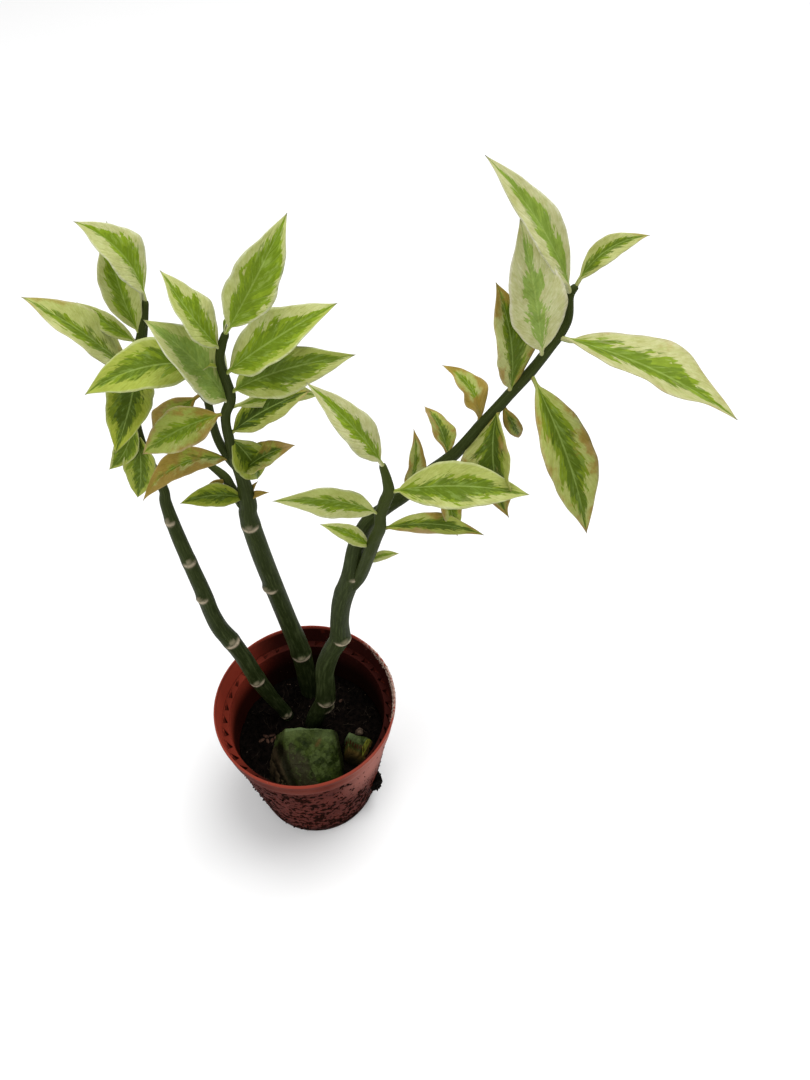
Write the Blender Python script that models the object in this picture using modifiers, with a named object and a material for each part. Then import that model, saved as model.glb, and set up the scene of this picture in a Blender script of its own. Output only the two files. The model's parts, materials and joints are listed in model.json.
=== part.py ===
import math

import bmesh
import bpy
from mathutils import Vector

# Driving sizes. Lengths are written in millimetres and turned into metres by MM.
MM = 0.001
GAP = 0.3               # air between pieces that touch

POT_HEIGHT = 88.0
POT_TOP_RADIUS = 45.0   # outside of the rim
POT_FOOT_RADIUS = 32.4
COLLAR_DROP = 12.0      # height of the plain band under the rim
COLLAR_TAPER = 1.4      # how much the band narrows to its lower edge
COLLAR_STEP = 0.8       # how far the band stands out from the tapered wall
WALL = 1.0
FLOOR = 1.6
LEDGE_WIDTH = 2.6       # inner shelf at the foot of the band
TOOTH_COUNT = 36        # stacking notches round the shelf
TOOTH_DEPTH = 2.4
DRAIN_RING = 20.0       # drain holes sit on this radius, so the middle stays whole
DRAIN_RADIUS = 3.5
DRAIN_COUNT = 6

SOIL_LEVEL = 50.0
SOIL_UNEVEN = 1.1
STEM_FOOT = 24.0        # depth at which the cuttings end in the soil

BLADE = 0.8             # leaf thickness
STALK = 1.7             # leaf stalk width
ARCH = 0.08             # how far a leaf's rib bows up, as a share of its length
FOLD = 18.0             # each half of a blade stands up from the rib by this angle
WAVE = 0.035            # wave of the margin, as a share of the leaf's width
LEAF_ROWS = 8           # along a long leaf; short ones take fewer
LEAF_COLUMNS = 4

# Mean colour and roughness of each leafy stem.
GREENS = {
    "left": ((0.38, 0.46, 0.13), 0.5),
    "middle": ((0.33, 0.48, 0.11), 0.48),
    "right": ((0.42, 0.48, 0.17), 0.5),
}

# Each route is a list of (x, y, z, radius) in millimetres, from the foot to the tip.
STEMS = {
    "left": [
        (-12.5, 12.5, STEM_FOOT, 3.3), (-14, 12, 50, 3.3), (-19.5, 11, 71, 3.6), (-24, 10, 91, 4.1),
        (-28, 10, 112, 4.0), (-31.5, 10, 126, 4.1), (-35.5, 11, 136, 3.9), (-37.5, 12, 147, 3.6),
        (-38.5, 13, 158, 3.5), (-41.5, 16, 176, 3.2), (-44.5, 19.5, 193, 2.9), (-46, 22, 208, 2.4),
        (-45.5, 23, 214, 2.0), (-47, 24.5, 220, 2.0), (-50.5, 28, 234, 2.0), (-51, 31.5, 248, 2.0),
        (-49, 34, 258, 1.9), (-45, 36.5, 269, 1.9), (-41.5, 38, 278, 1.8), (-38, 40, 290, 1.3),
    ],
    "middle": [
        (-2, 27, STEM_FOOT, 5.0), (-3, 27, 51, 5.0), (-4, 27, 90, 5.1), (-7.5, 27, 118, 4.6),
        (-11.5, 27, 151, 4.4), (-14, 27, 174, 4.3), (-15.5, 27, 195, 3.9), (-14.5, 27, 203, 3.6),
        (-14.5, 27, 215, 2.8), (-16, 27, 230, 2.1), (-16.5, 27, 243, 1.8), (-15.5, 27, 251, 1.8),
        (-12.5, 27, 259, 1.9), (-13, 25, 275, 1.6), (-11, 24, 283, 1.5), (-8.5, 23, 289, 1.3),
    ],
    "right": [
        (-2, 9, STEM_FOOT, 4.6), (0.5, 8, 50, 4.6), (9.5, 4, 84, 4.7), (11.5, 3, 112, 4.5),
        (15.5, 2, 129, 4.4), (20.5, 1, 143, 4.4), (21.5, 0, 158, 4.1), (23.5, 0, 173, 4.1),
        (28, 0, 190, 4.0), (31, 1, 207, 3.4), (35.5, 2, 219, 3.0), (42, 3, 226, 2.7),
        (50, 4, 233, 2.5), (58.5, 5, 243, 2.3), (67, 6, 251, 2.1), (75, 8, 262, 1.9),
        (84, 10, 274, 1.8), (90, 12, 281.5, 1.8), (95, 14, 288.5, 1.7), (100, 17, 297, 1.6),
        (100, 19, 305, 1.4), (102, 20, 308.5, 1.1),
    ],
}
SHOOTS = {
    "left": {},
    "middle": {
        "low": [(-17, 27, 202, 2.2), (-20.5, 29, 210, 2.0), (-23, 31, 214.5, 1.9), (-30.5, 37, 216, 1.2)],
        "fork": [(-15.5, 27, 223, 2.0), (-18.5, 28, 228, 1.9), (-21.5, 29, 238, 1.7), (-22, 30, 256, 1.4)],
        "fork_left": [(-21.5, 30, 253, 1.3), (-23, 29, 258, 1.2), (-23, 28, 263, 1.1), (-22, 27, 269, 0.9)],
        "fork_right": [(-21.5, 30, 253, 1.3), (-20, 31, 258, 1.2), (-19.5, 32, 262, 0.9)],
    },
    "right": {
        "front": [
            (27, -0.5, 181, 2.4), (32, -2.5, 193, 2.6), (36, -5, 209, 2.5), (38.5, -6, 219, 2.4),
            (40.5, -7, 227, 2.3), (41, -7, 233.5, 2.1), (42.5, -7, 240, 2.2), (44, -7, 245.5, 2.0),
            (43.5, -6.5, 251, 1.7), (42, -6, 258, 1.2),
        ],
    },
}

# Leaves: where on the stem (mm along the route), heading and rise in degrees, length and
# width in mm, roll in degrees and side bend as a share of the length.
LEAVES = {
    "left": {
        "main": [
            (275, 190, 64, 33, 17, -10, 0.06), (261, 165, 85, 43, 15, -5, -0.10),
            (245, 185, 51, 44, 21, 0, -0.04), (258, 160, 29, 25, 7, -45, 0.0),
            (252, 262, -25, 36, 17, -10, -0.06), (229, 215, -52, 25, 9, -55, -0.10),
            (224, 240, -71, 31, 13, -25, -0.08),
        ],
    },
    "middle": {
        "main": [
            (251, 195, -3, 46, 18, -35, 0.08), (232, 205, 64, 47, 21, -25, 0.0),
            (259, 175, 64, 32, 17, -10, -0.14), (267, 10, 58, 46, 16, 80, 0.0),
            (247, 0, 35, 50, 20, 30, 0.04), (238, -10, 26, 52, 17, 70, -0.06),
            (266, 20, 68, 8, 3, 0, 0.0), (217, 20, 20, 35, 15, 15, 0.0),
            (230, 40, -21, 42, 9, 85, -0.12), (217, -65, 0, 30, 13, 20, -0.06),
            (196, 0, 35, 28, 12, 25, -0.03), (228, 200, -17, 34, 16, -45, 0.05),
            (204, 205, -9, 38, 12, -25, 0.16), (182, 200, 15, 27, 10, -40, 0.08),
            (180, 20, 62, 12, 3, 40, -0.06), (181, -10, 34, 12, 3, 40, -0.08),
        ],
        "low": [(12, 200, 0, 9, 3, -75, 0.16)],
        "fork_left": [(6, 240, -27, 32, 14, -65, 0.14)],
    },
    "right": {
        "main": [
            (219, 40, 81, 30, 9, 90, 0.0), (242, 110, 12, 24, 12, 30, 0.0),
            (238, -60, -60, 28, 9, 0, 0.04), (259, 140, 45, 24, 11, 0, 0.12),
            (270, 20, -65, 20, 6, 115, -0.06), (269, -80, -51, 38, 25, 65, 0.03),
            (284, -50, -54, 60, 19, 15, 0.0), (274, 140, 76, 39, 15, -10, 0.0),
            (290, 165, 75, 47, 18, -65, 0.0), (298, -30, -8, 60, 25, -5, 0.06),
            (312, 190, 56, 54, 13, -50, 0.0), (315, 20, 47, 20, 7, 35, -0.12),
        ],
        "front": [
            (79, 190, 60, 44, 12, -50, 0.0), (55, 190, 21, 39, 13, -80, 0.16),
            (34, 190, 44, 25, 7, -40, 0.04), (47, -5, 1, 38, 9, 15, -0.04),
            (22, 20, 3, 14, 4, 30, -0.08), (67, -10, 9, 48, 17, 35, -0.04),
        ],
    },
}


def clear_scene():
    for item in list(bpy.data.objects):
        bpy.data.objects.remove(item, do_unlink=True)


def material(name, colour, roughness):
    made = bpy.data.materials.new(name)
    made.use_nodes = True
    shader = made.node_tree.nodes["Principled BSDF"]
    shader.inputs["Base Color"].default_value = (*colour, 1.0)
    shader.inputs["Roughness"].default_value = roughness
    shader.inputs["Metallic"].default_value = 0.0
    return made


def collection(name):
    made = bpy.data.collections.new(name)
    bpy.context.scene.collection.children.link(made)
    return made


def place(name, mesh, where, paint=None):
    item = bpy.data.objects.new(name, mesh)
    where.objects.link(item)
    if paint is not None:
        mesh.materials.clear()
        mesh.materials.append(paint)
    return item


def remove(items):
    for item in list(items):
        bpy.data.objects.remove(item, do_unlink=True)


def evaluated_mesh(item):
    bpy.context.view_layer.update()
    graph = bpy.context.evaluated_depsgraph_get()
    return bpy.data.meshes.new_from_object(item.evaluated_get(graph))


def bake(item):
    # Applies the modifiers of an object to its own mesh.
    baked = evaluated_mesh(item)
    item.modifiers.clear()
    item.data = baked


def join_or_cut(item, others, operation, solver="EXACT"):
    # One Boolean on a whole collection, applied, and then the collection is emptied.
    step = item.modifiers.new("boolean", "BOOLEAN")
    step.operation = operation
    step.operand_type = "COLLECTION"
    step.collection = others
    step.solver = solver
    bake(item)
    remove(others.objects)


def smooth_route(points, steps=4):
    # Catmull-Rom curve through hand-set points; each result is (Vector, radius).
    ends = [
        tuple(2 * a - b for a, b in zip(points[0], points[1])),
        tuple(2 * a - b for a, b in zip(points[-1], points[-2])),
    ]
    knots = [ends[0]] + list(points) + [ends[1]]
    route = []
    for index in range(1, len(knots) - 2):
        p0, p1, p2, p3 = knots[index - 1:index + 3]
        for step in range(steps):
            t = step / steps
            value = [
                0.5 * (2 * b + (c - a) * t + (2 * a - 5 * b + 4 * c - d) * t * t
                       + (3 * b - 3 * c + d - a) * t ** 3)
                for a, b, c, d in zip(p0, p1, p2, p3)
            ]
            route.append((Vector(value[:3]), value[3]))
    route.append((Vector(points[-1][:3]), points[-1][3]))
    return route


def point_along(points, distance):
    route = smooth_route(points, 12)
    walked = 0.0
    for (start, _), (end, _) in zip(route, route[1:]):
        length = (end - start).length
        if walked + length >= distance:
            return start.lerp(end, (distance - walked) / length)
        walked += length
    return route[-1][0]


def tube(name, route, where, extra=0.0, resolution=2):
    # A filled curve of changing radius, turned into a closed mesh.
    curve = bpy.data.curves.new(name, "CURVE")
    curve.dimensions = "3D"
    curve.bevel_depth = MM
    curve.bevel_resolution = resolution
    curve.use_fill_caps = True
    spline = curve.splines.new("POLY")
    spline.points.add(len(route) - 1)
    for point, (position, radius) in zip(spline.points, route):
        point.co = (*(position * MM), 1.0)
        point.radius = radius + extra
    drawn = bpy.data.objects.new(name, curve)
    where.objects.link(drawn)
    mesh = evaluated_mesh(drawn)
    bm = bmesh.new()
    bm.from_mesh(mesh)
    bmesh.ops.remove_doubles(bm, verts=bm.verts, dist=0.00001)
    bmesh.ops.recalc_face_normals(bm, faces=bm.faces)
    bm.to_mesh(mesh)
    bm.free()
    matrix = drawn.matrix_world.copy()
    remove([drawn])
    item = place(name, mesh, where)
    item.matrix_world = matrix
    return item


# Leaves

def leaf_axes(heading, rise, roll):
    h, r, turn = (math.radians(value) for value in (heading, rise, roll))
    forward = Vector((math.cos(r) * math.cos(h), math.cos(r) * math.sin(h), math.sin(r)))
    level = Vector((math.sin(h), -math.cos(h), 0.0))
    up = level.cross(forward)
    side = level * math.cos(turn) - up * math.sin(turn)
    return forward, side, up * math.cos(turn) + level * math.sin(turn)


def half_width(share, rounding=0.95, taper=1.2):
    widest = rounding / (rounding + taper)
    peak = widest ** rounding * (1 - widest) ** taper
    return share ** rounding * (1 - share) ** taper / peak


def leaf(name, base, numbers, where):
    _, heading, rise, length, width, roll, bend = numbers
    forward, side, up = leaf_axes(heading, rise, roll)
    fold = math.radians(FOLD)
    stalk_share = 0.07
    last = LEAF_ROWS if length > 32 else LEAF_ROWS - 2 if length > 16 else LEAF_ROWS - 4
    bm = bmesh.new()
    rows = []
    for row in range(last + 1):
        u = row / last
        along = max(0.0, (u - stalk_share) / (1 - stalk_share))
        blade = width / 2 * half_width(along)
        reach = max(blade, min(STALK, width * 0.4) / 2 * math.sqrt(1 - u))
        lift = ARCH * 4 * u * (1 - u) * length
        swing = bend * 4 * u * (1 - u) * length
        rib = base + forward * (u * length) + side * swing + up * lift
        if row == last:
            rows.append([bm.verts.new(rib * MM)])
            continue
        verts = []
        for column in range(LEAF_COLUMNS + 1):
            v = 2 * column / LEAF_COLUMNS - 1
            ripple = math.sin(2 * math.pi * (2.2 * u + 0.25 * (v > 0)))
            wave = WAVE * width * ripple * v * v * half_width(along)
            across = side * (v * reach * math.cos(fold))
            raised = up * (abs(v) * reach * math.sin(fold) + wave)
            verts.append(bm.verts.new((rib + across + raised) * MM))
        rows.append(verts)
    for near, far in zip(rows, rows[1:]):
        for column in range(LEAF_COLUMNS):
            if len(far) == 1:
                bm.faces.new((near[column], near[column + 1], far[0]))
            else:
                bm.faces.new((near[column], near[column + 1], far[column + 1], far[column]))
    bmesh.ops.triangulate(bm, faces=bm.faces, quad_method="ALTERNATE")
    mesh = bpy.data.meshes.new(name)
    bm.to_mesh(mesh)
    bm.free()
    item = place(name, mesh, where)
    shell = item.modifiers.new("thickness", "SOLIDIFY")
    shell.thickness = BLADE * MM
    shell.offset = 0.0
    shell.use_even_offset = False
    bake(item)
    return item


def leafy_stem(side, where, scrap):
    paint = material("stem_and_leaf_" + side, *GREENS[side])
    route = smooth_route(STEMS[side], 2)
    stem = tube("leafy_stem_" + side, route, where, resolution=2)
    for name, points in SHOOTS[side].items():
        tube("shoot_" + name, smooth_route(points, 2), scrap, resolution=1)
    for shoot, rows in LEAVES[side].items():
        points = STEMS[side] if shoot == "main" else SHOOTS[side][shoot]
        for number, numbers in enumerate(rows):
            leaf("leaf_%s_%02d" % (shoot, number), point_along(points, numbers[0]), numbers, scrap)
    join_or_cut(stem, scrap, "UNION")
    stem.data.materials.clear()
    stem.data.materials.append(paint)
    return stem


# Pot

def turned(name, profile, steps, where, paint=None):
    # Closed turned body: profile runs down the outer side, ending on the axis.
    bm = bmesh.new()
    verts = [bm.verts.new((r * MM, 0.0, z * MM)) for r, z in profile]
    for first, second in zip(verts, verts[1:]):
        bm.edges.new((first, second))
    mesh = bpy.data.meshes.new(name)
    bm.to_mesh(mesh)
    bm.free()
    item = place(name, mesh, where)
    screw = item.modifiers.new("turn", "SCREW")
    screw.steps = steps
    screw.render_steps = steps
    screw.use_merge_vertices = True
    screw.merge_threshold = 0.00001
    bake(item)
    if paint is not None:
        item.data.materials.append(paint)
    return item


def wall_radius(z):
    # Outside of the tapered wall below the band.
    top = POT_HEIGHT - COLLAR_DROP
    return POT_FOOT_RADIUS + (POT_TOP_RADIUS - COLLAR_TAPER - COLLAR_STEP - POT_FOOT_RADIUS) * z / top


def cylinder(name, radius, low, high, x, y, where, sides=20):
    bm = bmesh.new()
    bmesh.ops.create_cone(bm, cap_ends=True, segments=sides, radius1=radius * MM,
                          radius2=radius * MM, depth=(high - low) * MM)
    mesh = bpy.data.meshes.new(name)
    bm.to_mesh(mesh)
    bm.free()
    item = place(name, mesh, where)
    item.location = (x * MM, y * MM, (low + high) / 2 * MM)
    return item


def tooth_cutter(name, angle, where):
    # A wedge that is deep at one end and runs out at the other, cut into the shelf.
    shelf = POT_HEIGHT - COLLAR_DROP
    inner = wall_radius(shelf) - LEDGE_WIDTH + 0.5
    outer = inner + 1.2
    half = 0.36 * 2 * math.pi / TOOTH_COUNT
    bm = bmesh.new()
    bmesh.ops.create_cube(bm, size=1.0)
    for vert in bm.verts:
        radius = outer if vert.co.x > 0 else inner
        turn = angle + (half if vert.co.y > 0 else -half)
        low = shelf - (TOOTH_DEPTH if vert.co.y > 0 else 0.15)
        z = shelf + 0.5 if vert.co.z > 0 else low
        vert.co = Vector((radius * math.cos(turn), radius * math.sin(turn), z)) * MM
    mesh = bpy.data.meshes.new(name)
    bm.to_mesh(mesh)
    bm.free()
    return place(name, mesh, where)


def pot(paint, where, scrap):
    shelf = POT_HEIGHT - COLLAR_DROP
    inside = POT_TOP_RADIUS - WALL
    profile = [
        (inside, POT_HEIGHT - 0.5),
        (inside + 0.3, POT_HEIGHT),
        (POT_TOP_RADIUS - 0.2, POT_HEIGHT),
        (POT_TOP_RADIUS, POT_HEIGHT - 0.6),
        (POT_TOP_RADIUS, POT_HEIGHT - 1.8),
        (POT_TOP_RADIUS - 0.3, POT_HEIGHT - 2.1),
        (POT_TOP_RADIUS - COLLAR_TAPER, shelf),
        (wall_radius(shelf), shelf - 0.4),
        (wall_radius(1.0), 1.0),
        (POT_FOOT_RADIUS - 0.6, 0.0),
        (0.0, 0.0),
    ]
    inner = [
        (0.0, FLOOR),
        (wall_radius(FLOOR) - WALL - 0.6, FLOOR),
        (wall_radius(FLOOR + 1) - WALL, FLOOR + 1.0),
        (wall_radius(SOIL_LEVEL) - WALL, SOIL_LEVEL),
        (wall_radius(shelf) - LEDGE_WIDTH, shelf),
        (inside - COLLAR_TAPER + 0.2, shelf),
        (inside, POT_HEIGHT - 0.5),
    ]
    item = turned("pot", profile + inner, 48, where)
    for number in range(TOOTH_COUNT):
        tooth_cutter("tooth_%02d" % number, (number + 0.5) * 2 * math.pi / TOOTH_COUNT, scrap)
    for number in range(DRAIN_COUNT):
        angle = (number + 0.5) * 2 * math.pi / DRAIN_COUNT
        cylinder("drain_%d" % number, DRAIN_RADIUS, -1.0, FLOOR + 1.0,
                 DRAIN_RING * math.cos(angle), DRAIN_RING * math.sin(angle), scrap, 12)
    join_or_cut(item, scrap, "DIFFERENCE")
    item.data.materials.clear()
    item.data.materials.append(paint)
    item.data.shade_smooth()
    item.data.set_sharp_from_angle(angle=math.radians(35))
    return item


# Cut pieces of a thick leaf, lying in the soil

CHUNKS = {
    "large": {
        "colour": (0.085, 0.13, 0.05),
        "centre": (-2.5, -5.0, 47.0),
        "radii": (22.0, 30.5, 19.5),
        "cuts": [
            ((0, -2.8, 62.0), (0.06, 1.0, 0.12)),
            ((14.2, -3.0, 62.0), (1.0, 0.26, 0.04)),
            ((0, -4.0, 65.2), (-0.03, -0.1, 1.0)),
            ((-13.0, -3.0, 62.5), (-0.85, 0.0, 0.5)),
            ((0, 0, 44.5), (0, 0, -1.0)),
        ],
    },
    "small": {
        "colour": (0.15, 0.20, 0.08),
        "centre": (25.8, -8.8, 49.0),
        "radii": (7.2, 8.0, 14.5),
        "cuts": [
            ((24.0, -2.8, 58.0), (0.12, 1.0, 0.12)),
            ((24.5, -5.0, 60.2), (0.36, -0.1, 0.94)),
            ((31.4, -10.0, 54.0), (1.0, -0.45, 0.3)),
            ((0, 0, 45.0), (0, 0, -1.0)),
        ],
    },
}


def chunk(name, facts, where, paint=None, extra=0.0):
    # A full-sided lump trimmed by flat cuts; extra swells it, for the hollow it sits in.
    bm = bmesh.new()
    bmesh.ops.create_uvsphere(bm, u_segments=24, v_segments=14, radius=1.0)
    for vert in bm.verts:
        x, y, z = vert.co
        fuller = Vector((math.copysign(abs(x) ** 0.8, x), y, z))
        vert.co = Vector([c + (r + extra) * p for c, r, p in zip(facts["centre"], facts["radii"], fuller)])
    for point, normal in facts["cuts"]:
        outward = Vector(normal).normalized()
        everything = list(bm.verts) + list(bm.edges) + list(bm.faces)
        bmesh.ops.bisect_plane(bm, geom=everything, plane_co=Vector(point) + outward * extra,
                               plane_no=outward, clear_outer=True)
        bmesh.ops.holes_fill(bm, edges=[edge for edge in bm.edges if edge.is_boundary])
    for vert in bm.verts:
        vert.co = vert.co * MM
    bmesh.ops.remove_doubles(bm, verts=bm.verts, dist=0.00005)
    bmesh.ops.triangulate(bm, faces=[face for face in bm.faces if len(face.verts) > 4])
    bmesh.ops.recalc_face_normals(bm, faces=bm.faces)
    mesh = bpy.data.meshes.new(name)
    bm.to_mesh(mesh)
    bm.free()
    return place(name, mesh, where, paint)


# Soil

def soil_height(x, y):
    waves = math.sin(x * 0.21 + 0.6) * math.cos(y * 0.17 - 0.4) + 0.6 * math.sin(0.33 * y + 0.12 * x)
    return SOIL_UNEVEN * waves / 1.6


def soil(paint, where, scrap):
    edge = wall_radius(SOIL_LEVEL) - WALL - GAP
    profile = [(share * edge, SOIL_LEVEL) for share in (0.0, 0.2, 0.4, 0.6, 0.8, 1.0)]
    foot = FLOOR + GAP
    profile += [
        (wall_radius(foot + 1) - WALL - GAP - 0.2, foot + 1.0),
        (wall_radius(foot) - WALL - GAP - 1.0, foot),
        (0.0, foot),
    ]
    item = turned("soil", profile, 40, where)
    for vert in item.data.vertices:
        if vert.co.z > (SOIL_LEVEL - 1) * MM:
            fade = 1.0 - 0.7 * (math.hypot(vert.co.x, vert.co.y) / (edge * MM)) ** 4
            vert.co.z += soil_height(vert.co.x / MM, vert.co.y / MM) * fade * MM
    for side, points in STEMS.items():
        below = [(p, r) for p, r in smooth_route(points, 2) if p.z < SOIL_LEVEL + 30]
        lead = (below[1][0] - below[0][0]).normalized()
        below[0] = (below[0][0] - lead * GAP, below[0][1])
        tube("hole_" + side, below, scrap, extra=GAP + 0.1, resolution=2)
    for name, facts in CHUNKS.items():
        chunk("hollow_" + name, facts, scrap, extra=GAP)
    join_or_cut(item, scrap, "DIFFERENCE")
    item.data.materials.clear()
    item.data.materials.append(paint)
    return item


def main():
    clear_scene()
    parts = collection("potted_devils_backbone")
    scrap = collection("cutters_and_joins")
    pot(material("pot_plastic", (0.36, 0.075, 0.045), 0.5), parts, scrap)
    soil(material("soil_dark", (0.012, 0.009, 0.007), 0.95), parts, scrap)
    for name, facts in CHUNKS.items():
        chunk("cut_piece_" + name, facts, parts, material("cut_piece_" + name, facts["colour"], 0.6))
    for side in STEMS:
        leafy_stem(side, parts, scrap)


main()
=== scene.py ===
import json
import math
import random

import bpy
import bmesh
import numpy as np
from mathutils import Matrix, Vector, noise

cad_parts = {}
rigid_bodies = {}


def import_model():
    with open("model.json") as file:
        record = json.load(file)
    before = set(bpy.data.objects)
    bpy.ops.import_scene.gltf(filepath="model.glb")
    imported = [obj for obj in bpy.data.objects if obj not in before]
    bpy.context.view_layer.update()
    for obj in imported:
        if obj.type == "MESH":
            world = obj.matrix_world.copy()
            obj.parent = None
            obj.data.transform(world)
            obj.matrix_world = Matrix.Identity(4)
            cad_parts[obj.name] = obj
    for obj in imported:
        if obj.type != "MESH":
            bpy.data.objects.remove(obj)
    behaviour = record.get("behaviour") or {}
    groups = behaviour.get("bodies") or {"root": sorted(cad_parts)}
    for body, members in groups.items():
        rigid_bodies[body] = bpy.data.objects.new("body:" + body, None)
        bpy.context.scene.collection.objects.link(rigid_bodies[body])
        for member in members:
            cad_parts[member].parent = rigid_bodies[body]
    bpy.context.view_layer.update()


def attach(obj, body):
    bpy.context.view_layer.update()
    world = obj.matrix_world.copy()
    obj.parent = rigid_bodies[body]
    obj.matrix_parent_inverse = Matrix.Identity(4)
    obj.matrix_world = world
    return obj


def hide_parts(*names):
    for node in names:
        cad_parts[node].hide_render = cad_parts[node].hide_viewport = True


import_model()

mm = 0.001
dice = random.Random(27)


# Small helpers for node trees

def feed(tree, value, socket):
    if isinstance(value, bpy.types.NodeSocket):
        tree.links.new(value, socket)
    else:
        socket.default_value = value


def addNode(tree, kind, settings=None, **inputs):
    made = tree.nodes.new("ShaderNode" + kind)
    for key, value in (settings or {}).items():
        setattr(made, key, value)
    for key, value in inputs.items():
        feed(tree, value, made.inputs[key.replace("_", " ")])
    return made


def calc(tree, how, a, b=0.0, clamp=False):
    made = tree.nodes.new("ShaderNodeMath")
    made.operation = how
    made.use_clamp = clamp
    feed(tree, a, made.inputs[0])
    if len(made.inputs) > 1:
        feed(tree, b, made.inputs[1])
    return made.outputs[0]


def step(tree, value, low, high):  # smooth 0 to 1 between low and high
    made = addNode(tree, "MapRange", {"interpolation_type": "SMOOTHSTEP"}, Value=value, From_Min=low, From_Max=high)
    return made.outputs[0]


def mixed(tree, share, a, b, how="MIX"):
    made = addNode(tree, "Mix", {"data_type": "RGBA", "blend_type": how})
    for value, socket in ((share, made.inputs[0]), (a, made.inputs[6]), (b, made.inputs[7])):
        feed(tree, (*value, 1.0) if isinstance(value, tuple) and len(value) == 3 else value, socket)
    return made.outputs[2]


def noiseAt(tree, vector, scale, detail=3.0, roughness=0.55):
    return addNode(tree, "TexNoise", Vector=vector, Scale=scale, Detail=detail, Roughness=roughness).outputs[0]


def scaled(tree, vector, factors):
    made = addNode(tree, "VectorMath", {"operation": "MULTIPLY"}, Vector=vector)
    feed(tree, factors, made.inputs[1])
    return made.outputs[0]


def attribute(tree, name):
    made = addNode(tree, "Attribute", {"attribute_type": "GEOMETRY", "attribute_name": name})
    return made


def joinVector(tree, x, y, z):
    return addNode(tree, "CombineXYZ", X=x, Y=y, Z=z).outputs[0]


def splitVector(tree, vector):
    return addNode(tree, "SeparateXYZ", Vector=vector).outputs


def newGroup(name, inputs, output, kind="Float"):
    tree = bpy.data.node_groups.new(name, "ShaderNodeTree")
    for label, socketKind, value in inputs:
        made = tree.interface.new_socket(name=label, in_out="INPUT", socket_type="NodeSocket" + socketKind)
        if value is not None:
            made.default_value = value
    tree.interface.new_socket(name=output, in_out="OUTPUT", socket_type="NodeSocket" + kind)
    return tree, tree.nodes.new("NodeGroupInput").outputs, tree.nodes.new("NodeGroupOutput").inputs[0]


def useGroup(tree, group, **inputs):
    made = tree.nodes.new("ShaderNodeGroup")
    made.node_tree = group
    for key, value in inputs.items():
        feed(tree, value, made.inputs[key])
    return made.outputs[0]


def newMaterial(name, **plain):
    made = bpy.data.materials.new(name)
    made.use_nodes = True
    shader = made.node_tree.nodes["Principled BSDF"]
    for key, value in plain.items():
        shader.inputs[key.replace("_", " ")].default_value = value
    return made, made.node_tree, shader


def bumped(tree, shader, height, strength, distance):
    relief = addNode(tree, "Bump", Strength=strength, Distance=distance, Height=height)
    tree.links.new(relief.outputs[0], shader.inputs["Normal"])


# Shared effects

def makeFlecks():  # scattered spots: noise cut off at a level
    tree, given, result = newGroup("flecks", [
        ("Place", "Vector", None), ("Size", "Float", 300.0), ("Cover", "Float", 0.5), ("Edge", "Float", 0.04)], "Mask")
    grain = noiseAt(tree, given["Place"], given["Size"], 4.0, 0.6)
    level = calc(tree, "SUBTRACT", 1.0, given["Cover"])
    tree.links.new(step(tree, grain, calc(tree, "SUBTRACT", level, given["Edge"]),
                        calc(tree, "ADD", level, given["Edge"])), result)
    return tree


def makeVeinBand():  # a band along the rib whose edge breaks up into teeth along the side veins
    tree, given, result = newGroup("veinBand", [
        ("Along", "Float", 0.5), ("Across", "Float", 0.0), ("Side", "Float", 1.0), ("Seed", "Float", 0.0),
        ("Width", "Float", 0.5), ("Jag", "Float", 0.4), ("Teeth", "Float", 14.0), ("Edge", "Float", 0.04)], "Mask")
    vein = calc(tree, "SUBTRACT", given["Along"], calc(tree, "MULTIPLY", given["Across"], 0.26))
    beat = calc(tree, "MULTIPLY", vein, given["Teeth"])
    beat = calc(tree, "ADD", beat, calc(tree, "MULTIPLY", calc(tree, "SINE", calc(tree, "MULTIPLY", beat, 1.3)), 0.4))
    block = calc(tree, "ADD", calc(tree, "FLOOR", beat), calc(tree, "POWER", calc(tree, "FRACT", beat), 6.0))
    sides, seeds = calc(tree, "MULTIPLY", given["Side"], 9.7), calc(tree, "MULTIPLY", given["Seed"], 31.0)
    coarse = noiseAt(tree, joinVector(tree, calc(tree, "MULTIPLY", block, 0.83), sides, seeds), 1.0, 1.0, 0.5)
    fine = noiseAt(tree, joinVector(tree, calc(tree, "MULTIPLY", beat, 3.1), sides, seeds), 1.0, 3.0, 0.7)
    cells = addNode(tree, "TexVoronoi", Vector=joinVector(tree, calc(tree, "MULTIPLY", beat, 1.7), calc(
        tree, "MULTIPLY", given["Across"], 7.0), calc(tree, "ADD", sides, seeds)), Scale=1.0).outputs["Color"]
    teeth = calc(tree, "SUBTRACT", calc(tree, "ADD", calc(tree, "MULTIPLY", coarse, 0.60), calc(
        tree, "ADD", calc(tree, "MULTIPLY", fine, 0.24), calc(tree, "MULTIPLY", splitVector(tree, cells)[0], 0.16))), 0.5)
    swell = calc(tree, "MULTIPLY", step(tree, given["Along"], -0.12, 0.26),
                 step(tree, given["Along"], 1.25, 0.55))
    reach = calc(tree, "ADD", calc(tree, "MULTIPLY", given["Width"], swell),
                 calc(tree, "MULTIPLY", teeth, given["Jag"]))
    inside = calc(tree, "SUBTRACT", reach, given["Across"])
    tree.links.new(step(tree, inside, calc(tree, "MULTIPLY", given["Edge"], -1.0), given["Edge"]), result)
    return tree


flecks = makeFlecks()
veinBand = makeVeinBand()


# Materials

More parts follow.
